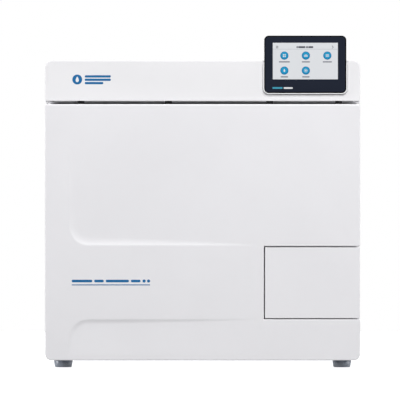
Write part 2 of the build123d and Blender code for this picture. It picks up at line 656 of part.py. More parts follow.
def water_tank(side):
    """A moulded water tank with an open mouth, an outlet and a stem for its float."""
    x0, x1 = sorted((side * TANK_X0, side * TANK_X1))
    centre = (x0 + x1) / 2
    tank = rounded_block(x0, x1, -TANK_Y, TANK_Y, SHELF_TOP, TANK_TOP, 12, Axis.Z)
    inner = rounded_block(x0 + TANK_WALL, x1 - TANK_WALL, TANK_WALL - TANK_Y, TANK_Y - TANK_WALL,
                          SHELF_TOP + TANK_WALL, TANK_TOP - TANK_WALL, 9.5, Axis.Z)
    mouth = rounded_block(centre - 68, centre + 68, -160, 60, TANK_TOP - 5, TANK_TOP + 5, 12, Axis.Z)
    stem = rod_z(SHELF_TOP + 1, TANK_TOP - 1, centre, FLOAT_Y, FLOAT_STEM_R)
    outlet = rod_y(TANK_Y - 1, TANK_Y + 14, centre, SHELF_TOP + 8, 5)
    bore = rod_y(TANK_Y - 5, TANK_Y + 15, centre, SHELF_TOP + 8, 3)
    return tank - inner - mouth + stem + outlet - bore


def level_float(side):
    """The ring float that shows the water level, at the bottom of its stem."""
    x = side * (TANK_X0 + TANK_X1) / 2
    z0 = SHELF_TOP + TANK_WALL + 0.3
    body = rod_z(z0, z0 + 12, x, FLOAT_Y, 18)
    body = fillet(body.edges().filter_by(GeomType.CIRCLE), 2)
    return body - rod_z(z0 - 1, z0 + 13, x, FLOAT_Y, FLOAT_STEM_R + 0.4)


def tank_lid():
    """The lid over the tanks, flush in the hood, with two knuckles and their moulded pins."""
    z0 = COVER_Z1 - WALL + 0.05
    lid = rounded_block(-LID_X, LID_X, LID_Y0, LID_Y1, z0, COVER_Z1, 4, Axis.Z)
    notch = rounded_block(-32, 32, LID_Y0 - 8, LID_Y0 + 8, z0 - 1, COVER_Z1 + 1, 6, Axis.Z)
    lid -= notch
    for side in (-1, 1):
        x = side * KNUCKLE_X
        lid += block(x - 10, x + 10, LID_Y1 - 6, LID_AXIS_Y, LID_AXIS_Z - 3, z0 + 0.5)
        lid += rod_x(x - 10, x + 10, LID_AXIS_Y, LID_AXIS_Z, 3)
        lid += rod_x(x - 15, x + 15, LID_AXIS_Y, LID_AXIS_Z, LID_PIN_R)
    return lid


# ---------------------------------------------------------------- process parts

def steam_generator():
    """The upright boiler on three legs, with its heater flange and bored outlet."""
    x, y = GENERATOR
    top = GENERATOR_TOP - 10
    boiler = rod_z(40, top, x, y, 34)
    boiler = fillet(boiler.edges().filter_by(GeomType.CIRCLE), 8)
    boiler += rod_z(top - 20, top - 14, x, y, 39) + rod_z(top - 6, GENERATOR_TOP, x, y, 8)
    boiler -= rod_z(46, top - 6, x, y, 29) + rod_z(top - 7, GENERATOR_TOP + 1, x, y, 3)
    for turn in range(3):
        leg = Pos(27, 0, 28) * Box(8, 8, 28)
        boiler += Pos(x, y, 0) * Rot(0, 0, 120 * turn) * leg
    return boiler


def vacuum_pump():
    """The diaphragm pump: motor, head and mounting feet."""
    x, z = PUMP
    pump = rod_y(86, 186, x, z, 40) + rod_y(186, 208, x, z, 4)
    pump += block(x - 38, x + 38, 44, 88, z - 36, z + 46)
    pump = pump + block(x - 30, x + 30, 60, 176, FOOT_H + 2, z - 30)
    for i in range(8):
        angle = math.radians(45 * i + 22.5)
        rib = Pos(x + 40 * math.cos(angle), 136, z + 40 * math.sin(angle)) * Rot(0, -45 * i - 22.5, 0)
        pump += rib * Box(6, 90, 2)
    return pump


def fan_rotor(y0, y1, x, z, hub_r, tip_r, blades, shaft_r):
    """A hub with pitched blades round it, bored for its shaft."""
    depth = y1 - y0
    rotor = rod_y(y0, y1, x, z, hub_r)
    reach = tip_r - hub_r + 2
    blade = Pos(hub_r - 2 + reach / 2, 0, 0) * Rot(-35, 0, 0) * Box(reach, depth * 0.95, 1.6)
    for i in range(blades):
        rotor += Pos(x, (y0 + y1) / 2, z) * Rot(0, 360 / blades * i, 0) * blade
    return rotor - rod_y(y0 - 1, y1 + 1, x, z, shaft_r + RUNNING)


def feed_pump():
    """The small piston pump that fills the boiler."""
    x, z = FEED_PUMP
    pump = rod_y(-170, -110, x, z, 22) + block(x - 20, x + 20, -110, -70, z - 20, z + 20)
    return pump + block(x - 18, x + 18, -160, -80, FOOT_H + 2, z - 18)


def power_supply():
    """The power supply: a folded steel case with a slotted lid, over its transformer."""
    (x0, x1), (y0, y1), (z0, z1) = SUPPLY_X, SUPPLY_Y, SUPPLY_Z
    case = rounded_block(x0, x1, y0, y1, z0, z1, 2, Axis.Y)
    case -= block(x0 + SHEET, x1 - SHEET, y0 + SHEET, y1 - SHEET, z0 + SHEET, z1 - SHEET)
    case += block(x0 + 12, x0 + 58, y0 + 14, y0 + 60, z0 + 1, z0 + 38)
    return case - [Pos(x0 + 10 + 9 * i, -10, z1) * Box(4, 70, 4) for i in range(7)]


def main_board():
    """The control board on the right wall, with its larger components and stand-offs."""
    x0 = BOARD_X
    board = block(x0, x0 + 1.6, -190, -70, 226, 366)
    for y in (-184, -76):
        for z in (232, 360):
            board += rod_x(x0 + 1, HALF - PANEL, y, z, 3)
    board += block(x0 - 22, x0 + 0.5, -184, -150, 250, 290) + block(x0 - 14, x0 + 0.5, -140, -112, 246, 262)
    for i in range(4):
        board += block(x0 - 15, x0 + 0.5, -180 + 18 * i, -166 + 18 * i, 310, 338)
    for i in range(3):
        board += rod_x(x0 - 20, x0 + 0.5, -100, 250 + 18 * i, 6)
    return board


def valve_block():
    """The brass manifold with its four solenoid coils."""
    first_x, y = VALVE_ROW
    manifold = block(first_x - 12, first_x + 72, y - 16, y + 16, 176, 204)
    for i in range(4):
        x = first_x + 20 * i
        manifold += rod_z(204, 236, x, y, 4) + block(x - 8.5, x + 8.5, y - 12, y + 12, 208, 232)
    return manifold


def condenser():
    """The finned cooler behind the chamber: upright fins on two bent tube runs."""
    (x0, x1), (y0, y1), (z0, z1) = COOLER_X, COOLER_Y, COOLER_Z
    core = block(x0, x1, y0 + 10, y0 + 18, z0 + 14, z1 - 14)
    for i in range(24):
        core += Pos(x0 + 2 + 9 * i, (y0 + y1) / 2, (z0 + z1) / 2) * Box(2, y1 - y0, z1 - z0)
    for k in range(5):
        core += rod_x(x0 - 8, x1 + 8, (y0 + y1) / 2 + 5, z0 + 20 + 27 * k, 4)
    return core


def fan_frame():
    """The cooling fan's square frame, with its motor boss on four struts."""
    y0, y1 = 248.0, HOUSING_BACK - PANEL - 0.2
    half = 62.0
    frame = block(CH_X - half, CH_X + half, y0, y1, FAN_Z - half, FAN_Z + half)
    frame -= rod_y(y0 - 1, y1 + 1, CH_X, FAN_Z, FAN_R + 3)
    for i in range(4):
        strut = Pos(CH_X, 0, FAN_Z) * Rot(0, 45 + 90 * i, 0) * block(10, FAN_R + 5, y1 - 4, y1, -2.5, 2.5)
        frame += strut
    return frame + rod_y(y1 - 6, y1, CH_X, FAN_Z, 18) + rod_y(y0 + 2, y1 - 5, CH_X, FAN_Z, 3)


def sterile_filter():
    """The air filter cartridge with its two end caps."""
    x, y = FILTER
    return rod_z(276, 332, x, y, 22) + rod_z(268, 278, x, y, 26) + rod_z(330, 340, x, y, 26) + \
        rod_z(340, 352, x, y, 6)


def safety_valve():
    """The safety valve's body through the back wall, bored for the lifting stem."""
    x, z = VALVE_X, VALVE_Z
    body = rod_y(256, 296, x, z, 8) + plate_xz(Pos(x, z) * RegularPolygon(13, 6), HOUSING_BACK, 291)
    return body - rod_y(276, 297, x, z, 2.5 + RUNNING)


def safety_valve_cap():
    """The lifting cap of the safety valve on its stem."""
    x, z = VALVE_X, VALVE_Z
    cap = rod_y(297, BACK, x, z, 9)
    grooves = [Pos(x, 301, z) * Rot(0, 30 * i, 0) * Pos(9.4, 0, 0) * Box(2, 9, 2) for i in range(12)]
    return cap - grooves + rod_y(278, 298, x, z, 2.5)


def hose_tails():
    """The two barbed hose tails through the back wall, feed and drain."""
    tails = []
    for x in TAIL_X:
        tail = rod_y(262, HOUSING_BACK, x, TAIL_Z, 8) + rod_y(HOUSING_BACK, HOUSING_BACK + 3, x, TAIL_Z, 12)
        tail += rod_y(HOUSING_BACK + 3, BACK, x, TAIL_Z, TAIL_R)
        tails.append(tail - rod_y(261, BACK + 1, x, TAIL_Z, 3))
    return group(tails)


def power_inlet():
    """The mains inlet: a recessed socket with three blades."""
    x, z = INLET_X, INLET_Z
    body = block(x - 15, x + 15, 262, HOUSING_BACK, z - 10, z + 10)
    body += block(x - 25, x + 25, HOUSING_BACK, HOUSING_BACK + 3, z - 13, z + 13)
    body -= block(x - 12.5, x + 12.5, 268, 289, z - 8, z + 8)
    for dx, dz in ((-7, -1.5), (0, 2.5), (7, -1.5)):
        body += block(x + dx - 1, x + dx + 1, 267, 281, z + dz - 2, z + dz + 2)
    return body


def pipe(points, radius, bend):
    """A round pipe along straight runs joined by equal bends."""
    path = FilletPolyline(*points, radius=bend)
    return sweep(Plane(origin=path @ 0, z_dir=path % 0) * Circle(radius), path=path)


def pipes():
    """The rigid pipes: steam line, exhaust to the cooler, drain and feed."""
    gap = 0.2
    x, y = GENERATOR
    steam = pipe([(x, y, GENERATOR_TOP + gap), (x, y, CH_Z), (x - 64, y, CH_Z)], 4, 14)
    vessel_back = CH_FRONT + CH_LENGTH + CH_DISH + gap
    cooler_y = (COOLER_Y[0] + COOLER_Y[1]) / 2
    exhaust = pipe([(CH_X, vessel_back, CH_Z), (CH_X, 160, CH_Z), (CH_X, 160, 290), (CH_X, 206, 290),
                    (CH_X, 206, COOLER_Z[1] + gap)], 5, 9)
    feed_x, drain_x = TAIL_X
    tail_y = 262 - gap
    drain = pipe([(drain_x, cooler_y, COOLER_Z[0] - gap), (drain_x, cooler_y, TAIL_Z),
                  (drain_x, tail_y, TAIL_Z)], 4, 16)
    pump_z = FEED_PUMP[1]
    feed = pipe([(feed_x, tail_y, TAIL_Z), (feed_x, 225, TAIL_Z), (feed_x, 195, pump_z),
                 (feed_x, gap - 70, pump_z)], 4, 16)
    return group((steam, exhaust, drain, feed))


NODES = {
    "base_tray": base_tray,
    "left_side_panel": lambda: side_panel(-1),
    "right_side_panel": lambda: side_panel(1),
    "rear_panel": rear_panel,
    "front_frame": front_frame,
    "top_cover": top_cover,
    "tank_shelf": tank_shelf,
    "feet": feet,
    "cover_buffers": cover_buffers,
    "hinge_brackets": hinge_brackets,
    "display_bracket": display_bracket,
    "chamber_vessel": chamber_vessel,
    "chamber_insulation": lambda: ring_y(CH_FRONT + 6, CH_FRONT + CH_LENGTH - 2,
                                         INSULATION_R, CH_R + CH_WALL + 0.3),
    "tray_rack": tray_rack,
    "trays": lambda: group(tray(level) for level in TRAY_LEVELS),
    "door_shell": door_shell,
    "door_liner": door_liner,
    "door_frame": door_frame,
    "hinge_bushes": hinge_bushes,
    "pressure_plate": pressure_plate,
    "door_seal": lambda: ring_y(DOOR_BACK - 3, FLANGE_FRONT - 0.3, PLATE_R - 1, CH_R + 3),
    "striker": striker,
    "lock_housing": lock_housing,
    "lock_bolt": lock_bolt,
    "lock_spindle": lock_spindle,
    "lock_motor": lock_motor,
    "service_box": service_box,
    "service_flap": service_flap,
    "mains_switch_frame": mains_switch_frame,
    "mains_rocker": mains_rocker,
    "reset_button": reset_button,
    "usb_socket": usb_socket,
    "drain_couplings": drain_couplings,
    "drain_cap_left": lambda: drain_cap(DRAIN_X[0]),
    "drain_cap_right": lambda: drain_cap(DRAIN_X[1]),
    "display_shell": display_shell,
    "display_glass": display_glass,
    "display_module": display_module,
    "display_shaft": display_shaft,
    "fresh_water_tank": lambda: water_tank(-1),
    "used_water_tank": lambda: water_tank(1),
    "fresh_float": lambda: level_float(-1),
    "used_float": lambda: level_float(1),
    "tank_lid": tank_lid,
    "steam_generator": steam_generator,
    "vacuum_pump": vacuum_pump,
    "pump_fan": lambda: fan_rotor(189, 203, *PUMP, 12, 38, 7, 4),
    "feed_pump": feed_pump,
    "power_supply": power_supply,
    "main_board": main_board,
    "valve_block": valve_block,
    "condenser": condenser,
    "fan_frame": fan_frame,
    "cooling_fan": lambda: fan_rotor(252, 270, CH_X, FAN_Z, 20, FAN_R, 9, 3),
    "sterile_filter": sterile_filter,
    "safety_valve": safety_valve,
    "safety_valve_cap": safety_valve_cap,
    "hose_tails": hose_tails,
    "power_inlet": power_inlet,
    "pipes": pipes,
}

os.makedirs("parts", exist_ok=True)
for name, make in NODES.items():
    export_step(make(), os.path.join("parts", name + ".step"))
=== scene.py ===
"""Looks for the benchtop autoclave: materials on the CAD frame, and the finer visible pieces."""

import json
import math

import bmesh
import bpy
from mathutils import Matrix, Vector


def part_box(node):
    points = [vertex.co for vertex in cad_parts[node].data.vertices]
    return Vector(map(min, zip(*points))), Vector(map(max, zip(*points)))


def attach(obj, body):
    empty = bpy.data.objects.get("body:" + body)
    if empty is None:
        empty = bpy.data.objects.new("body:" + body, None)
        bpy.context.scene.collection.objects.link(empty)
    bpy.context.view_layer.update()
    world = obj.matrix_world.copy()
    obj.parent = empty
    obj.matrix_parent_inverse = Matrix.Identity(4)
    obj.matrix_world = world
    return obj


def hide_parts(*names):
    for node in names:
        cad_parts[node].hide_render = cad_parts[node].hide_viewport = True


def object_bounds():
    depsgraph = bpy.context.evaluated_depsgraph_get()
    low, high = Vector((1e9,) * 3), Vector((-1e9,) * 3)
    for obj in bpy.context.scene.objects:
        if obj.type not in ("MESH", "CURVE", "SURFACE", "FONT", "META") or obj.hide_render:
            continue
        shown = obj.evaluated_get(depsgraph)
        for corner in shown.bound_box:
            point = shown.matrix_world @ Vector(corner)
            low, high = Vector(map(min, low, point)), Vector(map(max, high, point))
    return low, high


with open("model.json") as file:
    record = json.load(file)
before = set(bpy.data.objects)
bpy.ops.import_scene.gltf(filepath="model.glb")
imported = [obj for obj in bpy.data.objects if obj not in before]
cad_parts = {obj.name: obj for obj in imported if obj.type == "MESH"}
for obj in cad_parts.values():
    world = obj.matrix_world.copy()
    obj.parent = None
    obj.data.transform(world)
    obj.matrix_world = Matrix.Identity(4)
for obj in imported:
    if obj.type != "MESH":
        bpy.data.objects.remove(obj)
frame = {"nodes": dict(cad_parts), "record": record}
CAD_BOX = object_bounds()
MM = 0.001


# ---------------------------------------------------------------- materials

MIX_FIRST, MIX_SECOND = 6, 7     # the colour inputs of a mix node, which share their names with others
MIX_COLOUR = 2                   # and its colour output


class Shader:
    """A node material with one principled shader, built a node at a time."""

    def __init__(self, name):
        self.material = bpy.data.materials.new(name)
        self.material.use_nodes = True
        self.tree = self.material.node_tree
        self.tree.nodes.clear()
        self.output = self.tree.nodes.new("ShaderNodeOutputMaterial")
        self.surface = self.tree.nodes.new("ShaderNodeBsdfPrincipled")
        self.link(self.surface.outputs["BSDF"], self.output.inputs["Surface"])
        self.place = self.tree.nodes.new("ShaderNodeTexCoord").outputs["Object"]

    def link(self, source, target):
        self.tree.links.new(source, target)

    def set(self, **values):
        """Sets sockets of the principled shader; underscores in a name stand for spaces."""
        for key, value in values.items():
            self.surface.inputs[key.replace("_", " ")].default_value = value

    def stretched(self, scale):
        """Object coordinates scaled differently along each axis."""
        node = self.tree.nodes.new("ShaderNodeMapping")
        node.inputs["Scale"].default_value = scale
        self.link(self.place, node.inputs["Vector"])
        return node.outputs["Vector"]

    def noise(self, scale, detail=4.0, rough=0.55, vector=None):
        """Cloudy noise; its scale is in features per metre."""
        node = self.tree.nodes.new("ShaderNodeTexNoise")
        node.inputs["Scale"].default_value = scale
        node.inputs["Detail"].default_value = detail
        node.inputs["Roughness"].default_value = rough
        self.link(vector or self.place, node.inputs["Vector"])
        return node.outputs["Fac"]

    def cells(self, scale):
        """Distance from the middle of small round cells."""
        node = self.tree.nodes.new("ShaderNodeTexVoronoi")
        node.inputs["Scale"].default_value = scale
        self.link(self.place, node.inputs["Vector"])
        return node.outputs["Distance"]

    def ranged(self, value, low, high, from_low=0.3, from_high=0.7):
        """The value spread over low to high; noise lies mostly between 0.3 and 0.7."""
        node = self.tree.nodes.new("ShaderNodeMapRange")
        node.inputs["From Min"].default_value = from_low
        node.inputs["From Max"].default_value = from_high
        node.inputs["To Min"].default_value = low
        node.inputs["To Max"].default_value = high
        self.link(value, node.inputs["Value"])
        return node.outputs["Result"]

    def mixed(self, factor, first, second):
        """A colour between two, each a colour or another node's output."""
        node = self.tree.nodes.new("ShaderNodeMix")
        node.data_type = "RGBA"
        self.link(factor, node.inputs["Factor"])
        for socket, value in ((node.inputs[MIX_FIRST], first), (node.inputs[MIX_SECOND], second)):
            if isinstance(value, bpy.types.NodeSocket):
                self.link(value, socket)
            else:
                socket.default_value = (*value, 1.0)
        return node.outputs[MIX_COLOUR]

    def edges(self, low=0.52, high=0.6):
        """How sharply the surface bends outwards, from 0 to 1."""
        geometry = self.tree.nodes.new("ShaderNodeNewGeometry")
        return self.ranged(geometry.outputs["Pointiness"], 0.0, 1.0, low, high)

    def bump(self, heights):
        """Stacked bumps, each (height output, distance in metres, strength)."""
        normal = None
        for height, distance, strength in heights:
            node = self.tree.nodes.new("ShaderNodeBump")
            node.inputs["Distance"].default_value = distance
            node.inputs["Strength"].default_value = strength
            self.link(height, node.inputs["Height"])
            if normal is not None:
                self.link(normal, node.inputs["Normal"])
            normal = node.outputs["Normal"]
        self.link(normal, self.surface.inputs["Normal"])

    def colour(self, output):
        self.link(output, self.surface.inputs["Base Color"])

    def roughness(self, output):
        self.link(output, self.surface.inputs["Roughness"])


def shade(colour, factor):
    """A colour made lighter or darker."""
    return tuple(min(1.0, c * factor) for c in colour)


def moulded(name, colour, rough=0.38, grain=900.0, edge_highlight=0.35):
    """Moulded plastic: faint flow mottling, a fine grain, and a painted highlight that makes convex edges
    slightly paler.
    """
    s = Shader(name)
    s.set(Specular_IOR_Level=0.45)
    mottled = s.mixed(s.ranged(s.noise(7.0), 0.0, 1.0), shade(colour, 0.985), shade(colour, 1.012))
    dusted = s.mixed(s.ranged(s.noise(60.0, 8.0), 0.0, 0.35, 0.55, 0.8), mottled, shade(colour, 0.965))
    # painted highlight: the colour turns paler on convex edges
    s.colour(s.mixed(s.ranged(s.edges(), 0.0, edge_highlight), dusted, shade(colour, 1.06)))
    s.roughness(s.ranged(s.noise(24.0, 6.0), rough - 0.05, rough + 0.06))
    s.bump([(s.noise(grain, 2.0), 0.00002, 0.35), (s.noise(3.5, 2.0), 0.0004, 0.12)])
    return s.material


def powder_coated(name, colour, rough=0.42):
    """Powder-coated sheet: orange-peel texture, scuffs, and thinner paint on the edges."""
    s = Shader(name)
    s.set(Specular_IOR_Level=0.45)
    base = s.mixed(s.ranged(s.noise(5.0), 0.0, 1.0), shade(colour, 0.985), shade(colour, 1.01))
    scuffed = s.mixed(s.ranged(s.noise(45.0, 9.0, 0.7), 0.0, 0.5, 0.62, 0.8), base, shade(colour, 0.93))
    s.colour(s.mixed(s.ranged(s.edges(0.54, 0.62), 0.0, 0.3), scuffed, shade(colour, 0.88)))
    s.roughness(s.ranged(s.noise(30.0, 5.0), rough - 0.06, rough + 0.08))
    s.bump([(s.cells(620.0), 0.00005, 0.35), (s.noise(1400.0, 2.0), 0.00002, 0.3)])
    return s.material


def brushed(name, colour, rough, along):
    """Brushed or rolled metal: fine lines where along is small, clouding, and a painted highlight that
    brightens convex edges.
    """
    s = Shader(name)
    s.set(Metallic=1.0)
    lines = s.noise(40.0, 6.0, 0.7, s.stretched(along))
    clouds = s.noise(18.0, 5.0)
    toned = s.mixed(s.ranged(clouds, 0.0, 1.0), shade(colour, 0.9), shade(colour, 1.05))
    lined = s.mixed(s.ranged(lines, 0.0, 0.55), toned, shade(colour, 0.8))
    # painted highlight: the colour turns brighter on convex edges
    s.colour(s.mixed(s.ranged(s.edges(), 0.0, 0.4), lined, shade(colour, 1.25)))
    s.roughness(s.ranged(lines, rough - 0.08, rough + 0.12))
    s.bump([(lines, 0.00003, 0.4)])
    return s.material


def rubbery(name, colour, rough=0.6, specular=0.35):
    """Rubber: matt, a little dusty, with a pebbled skin and a painted highlight that makes convex edges
    paler.
    """
    s = Shader(name)
    s.set(Specular_IOR_Level=specular)
    dusty = s.mixed(s.ranged(s.noise(70.0, 8.0), 0.0, 1.0), shade(colour, 0.85), shade(colour, 1.2))
    # painted highlight: the colour turns paler on convex edges
    s.colour(s.mixed(s.ranged(s.edges(), 0.0, 0.5), dusty, shade(colour, 1.7)))
    s.roughness(s.ranged(s.noise(90.0, 5.0), rough - 0.08, rough + 0.1))
    s.bump([(s.noise(1100.0, 3.0), 0.00004, 0.5)])
    return s.material


def felted(name, colour):
    """Glass fibre felt: tangled fibres and clumps."""
    s = Shader(name)
    s.set(Sheen_Weight=0.4, Specular_IOR_Level=0.2)
    fibres = s.noise(700.0, 6.0, 0.8, s.stretched((1.0, 0.25, 1.0)))
    clumps = s.noise(60.0, 6.0)
    s.colour(s.mixed(s.ranged(fibres, 0.0, 1.0), shade(colour, 0.8), shade(colour, 1.1)))
    s.roughness(s.ranged(clumps, 0.85, 1.0))
    s.bump([(clumps, 0.0012, 0.5), (fibres, 0.0003, 0.6)])
    return s.material


def glossy(name, colour, rough, specular):
    """Polished plastic or glass front: even colour, faint smears in the gloss."""
    s = Shader(name)
    s.set(Specular_IOR_Level=specular)
    s.colour(s.mixed(s.ranged(s.noise(12.0), 0.0, 1.0), shade(colour, 0.94), shade(colour, 1.06)))
    s.roughness(s.ranged(s.noise(25.0, 7.0), rough, rough + 0.08))
    s.bump([(s.noise(5.0, 2.0), 0.0001, 0.08)])
    return s.material


def lit(name, colour, strength):
    """A lit part of the screen: its own light over a pale sheet, with the panel's faint grid."""
    s = Shader(name)
    s.set(Specular_IOR_Level=0.3, Emission_Strength=strength, Emission_Color=(*colour, 1.0))
    grid = s.ranged(s.noise(2600.0, 1.0), 0.0, 1.0)
    s.colour(s.mixed(grid, shade(colour, 0.50), shade(colour, 0.54)))
    s.roughness(s.ranged(s.noise(25.0, 6.0), 0.12, 0.2))
    s.bump([(s.noise(6.0, 2.0), 0.00005, 0.05)])
    return s.material


def lacquered_board(name, colour):
    """Circuit board: solder mask over tracks that run along two axes."""
    s = Shader(name)
    s.set(Specular_IOR_Level=0.5)
    tracks = s.noise(180.0, 2.0, 0.4, s.stretched((1.0, 0.12, 1.0)))
    cross = s.noise(180.0, 2.0, 0.4, s.stretched((1.0, 1.0, 0.12)))
    first = s.mixed(s.ranged(tracks, 0.0, 1.0, 0.5, 0.53), colour, shade(colour, 1.7))
    s.colour(s.mixed(s.ranged(cross, 0.0, 0.7, 0.52, 0.55), first, shade(colour, 1.5)))
    s.roughness(s.ranged(s.noise(50.0), 0.22, 0.36))
    s.bump([(tracks, 0.00004, 0.5)])
    return s.material


def translucent(name, colour):
    """Milky polyethylene that lets some light through."""
    s = Shader(name)
    s.set(Subsurface_Weight=0.35, Subsurface_Scale=0.01, Specular_IOR_Level=0.4)
    s.colour(s.mixed(s.ranged(s.noise(14.0), 0.0, 1.0), shade(colour, 0.95), shade(colour, 1.03)))
    s.roughness(s.ranged(s.noise(30.0, 5.0), 0.3, 0.45))
    s.bump([(s.noise(300.0, 3.0), 0.00006, 0.3)])
    return s.material


HOOD_WHITE = (0.772, 0.768, 0.786)
DOOR_WHITE = (0.765, 0.760, 0.785)
PANEL_WHITE = (0.76, 0.76, 0.765)
NAVY = (0.0125, 0.0165, 0.029)
BLUE = (0.006, 0.125, 0.315)
STEEL = (0.62, 0.63, 0.64)

FINISHES = {
    "hood_white": moulded("hood plastic", HOOD_WHITE),
    "door_white": moulded("door plastic", DOOR_WHITE, rough=0.4),
    "bay_white": moulded("bay plastic", shade(DOOR_WHITE, 0.97), rough=0.5),
    "panel_white": powder_coated("coated panel", PANEL_WHITE),
    "liner_grey": moulded("liner plastic", (0.30, 0.31, 0.33), rough=0.55, edge_highlight=0.6),
    "zinc_steel": brushed("zinc plate", (0.52, 0.53, 0.55), rough=0.4, along=(6.0, 14.0, 6.0)),
    "stainless": brushed("stainless steel", STEEL, rough=0.24, along=(40.0, 2.0, 40.0)),
    "machined_steel": brushed("machined steel", (0.50, 0.51, 0.52), rough=0.3, along=(30.0, 30.0, 2.0)),
    "foot_rubber": rubbery("foot rubber", (0.22, 0.25, 0.31), rough=0.24, specular=0.7),
    "buffer_rubber": rubbery("buffer rubber", (0.012, 0.012, 0.012)),
    "silicone": rubbery("silicone", (0.62, 0.60, 0.55), rough=0.45),
    "insulation": felted("insulation felt", (0.70, 0.68, 0.60)),
    "bronze": brushed("sintered bronze", (0.45, 0.28, 0.12), rough=0.45, along=(20.0, 20.0, 4.0)),
    "brass": brushed("turned brass", (0.62, 0.45, 0.19), rough=0.3, along=(50.0, 4.0, 50.0)),
    "cast_alloy": brushed("cast alloy", (0.55, 0.56, 0.57), rough=0.48, along=(9.0, 9.0, 9.0)),
    "motor_dark": powder_coated("motor paint", (0.03, 0.032, 0.036), rough=0.38),
    "black_plastic": moulded("black plastic", (0.018, 0.018, 0.02), rough=0.45, edge_highlight=0.6),
    "rocker_green": moulded("rocker plastic", (0.015, 0.19, 0.06), rough=0.22, grain=300.0),
    "button_red": moulded("button plastic", (0.42, 0.02, 0.015), rough=0.22, grain=300.0),
    "socket_metal": brushed("plated shell", (0.62, 0.62, 0.63), rough=0.18, along=(30.0, 3.0, 30.0)),
    "cap_blue": moulded("blue cap plastic", (0.02, 0.13, 0.33), rough=0.4),
    "cap_grey": moulded("grey cap plastic", (0.10, 0.105, 0.115), rough=0.4),
    "display_glass": glossy("display glass", NAVY, rough=0.06, specular=0.22),
    "display_module": moulded("module frame", (0.09, 0.10, 0.11), rough=0.35),
    "tank_plastic": translucent("tank plastic", (0.72, 0.76, 0.78)),
    "float_red": moulded("float plastic", (0.55, 0.07, 0.02), rough=0.4),
    "board_green": lacquered_board("circuit board", (0.006, 0.075, 0.03)),
    "filter_white": moulded("filter plastic", (0.74, 0.76, 0.77), rough=0.25),
    "valve_red": moulded("valve cap plastic", (0.42, 0.02, 0.015), rough=0.3),
    "pipe_copper": brushed("drawn copper", (0.60, 0.30, 0.18), rough=0.3, along=(8.0, 8.0, 8.0)),
}

# Every CAD node takes the finish of the slot that the record gives it.
NODE_SLOT = {part["node"]: part["material_slot"] for part in frame["record"]["subparts"]}
for node, obj in frame["nodes"].items():
    obj.data.materials.clear()
    obj.data.materials.append(FINISHES[NODE_SLOT[node]])


# ---------------------------------------------------------------- mesh building

def new_piece(name, bm, material, body):
    """Makes a piece from a bmesh and gives it its body and its material."""
    bmesh.ops.recalc_face_normals(bm, faces=bm.faces)
    mesh = bpy.data.meshes.new(name)
    bm.to_mesh(mesh)
    bm.free()
    mesh.materials.append(material)
    obj = bpy.data.objects.new(name, mesh)
    bpy.context.scene.collection.objects.link(obj)
    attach(obj, body)
    return obj


def smooth(obj, angle=40.0):
    """Smooth shading that keeps edges sharper than the angle."""
    for polygon in obj.data.polygons:
        polygon.use_smooth = True
    obj.data.set_sharp_from_angle(angle=math.radians(angle))


def prism(bm, outline, y_front, y_back, bevel=0.0):
    """A closed solid from an outline of (x, z) points, with its front edges rounded."""
    front = [bm.verts.new((x, y_front, z)) for x, z in outline]
    back = [bm.verts.new((x, y_back, z)) for x, z in outline]
    face = bm.faces.new(front)
    bm.faces.new(reversed(back))
    for i, vert in enumerate(front):
        j = (i + 1) % len(front)
        bm.faces.new((front[j], vert, back[i], back[j]))
    if bevel:
        bmesh.ops.bevel(bm, geom=list(face.edges), offset=bevel, segments=2, profile=0.5,
                        affect="EDGES")


def rounded(x0, x1, z0, z1, radius, steps=8):
    """Outline of a rectangle with rounded corners, each drawn in so many steps."""
    points = []
    corners = ((x1 - radius, z1 - radius, 0), (x0 + radius, z1 - radius, 90),
               (x0 + radius, z0 + radius, 180), (x1 - radius, z0 + radius, 270))
    for cx, cz, start in corners:
        for i in range(steps + 1):
            angle = math.radians(start + 90 * i / steps)
            points.append((cx + radius * math.cos(angle), cz + radius * math.sin(angle)))
    return points


def drop(cx, cz, size):
    """Outline of a water drop, pointed at the top."""
    steps, half_width, taper, above, below = 36, 0.62, 0.55, 1.15, 0.75
    points = []
    for i in range(steps):
        angle = 2 * math.pi * i / steps
        pinch = (1 + math.sin(angle)) / 2
        width = math.cos(angle) * (1 - taper * pinch * pinch)
        height = math.sin(angle) * (above if angle < math.pi else below)
        points.append((cx + size * half_width * width, cz + size * height))
    return points


def circle(cx, cz, radius, steps=40):
    """Outline of a circle."""
    turn = 2 * math.pi / steps
    return [(cx + radius * math.cos(turn * i), cz + radius * math.sin(turn * i)) for i in range(steps)]


def ring_prism(bm, outer, inner, y_front, y_back):
    """A flat ring between two outlines that have the same number of points."""
    layers = [[bm.verts.new((x, y, z)) for x, z in outline]
              for y in (y_front, y_back) for outline in (outer, inner)]
    order = (layers[0], layers[1], layers[3], layers[2])
    for k, layer in enumerate(order):
        following = order[(k + 1) % len(order)]
        for i in range(len(layer)):
            bm.faces.new((layer[i - 1], layer[i], following[i], following[i - 1]))


def turned(bm, profile, centre, axis, steps=40, out=1):
    """A turned solid from (radius, distance along the axis) points: bored if its first radius isn't 0.

    A third number in a point gives that ring so many flats in place of a round section.
    """
    rings = []
    for point in profile:
        radius, along = point[0], point[1] * out
        count = steps if radius else 1
        ring = []
        for i in range(count):
            angle = 2 * math.pi * i / count
            reach = radius
            if len(point) == 3:
                half = math.pi / point[2]
                reach = radius / math.cos(angle % (2 * half) - half)
            a, b = reach * math.cos(angle), reach * math.sin(angle)
            shift = {"x": (along, a, b), "y": (a, along, b), "z": (a, b, along)}[axis]
            ring.append(bm.verts.new([c + d for c, d in zip(centre, shift)]))
        rings.append(ring)
    if profile[0][0]:
        rings.append(rings[0])
    for first, second in zip(rings, rings[1:]):
        for i in range(steps):
            corners = []
            for ring, order in ((first, (i - 1, i)), (second, (i, i - 1))):
                corners += [ring[k] for k in order] if len(ring) > 1 else ring
            bm.faces.new(corners)


def in_mm(profile):
    """The same turned profile in metres, from one in millimetres."""
    return [(point[0] * MM, point[1] * MM, *point[2:]) for point in profile]


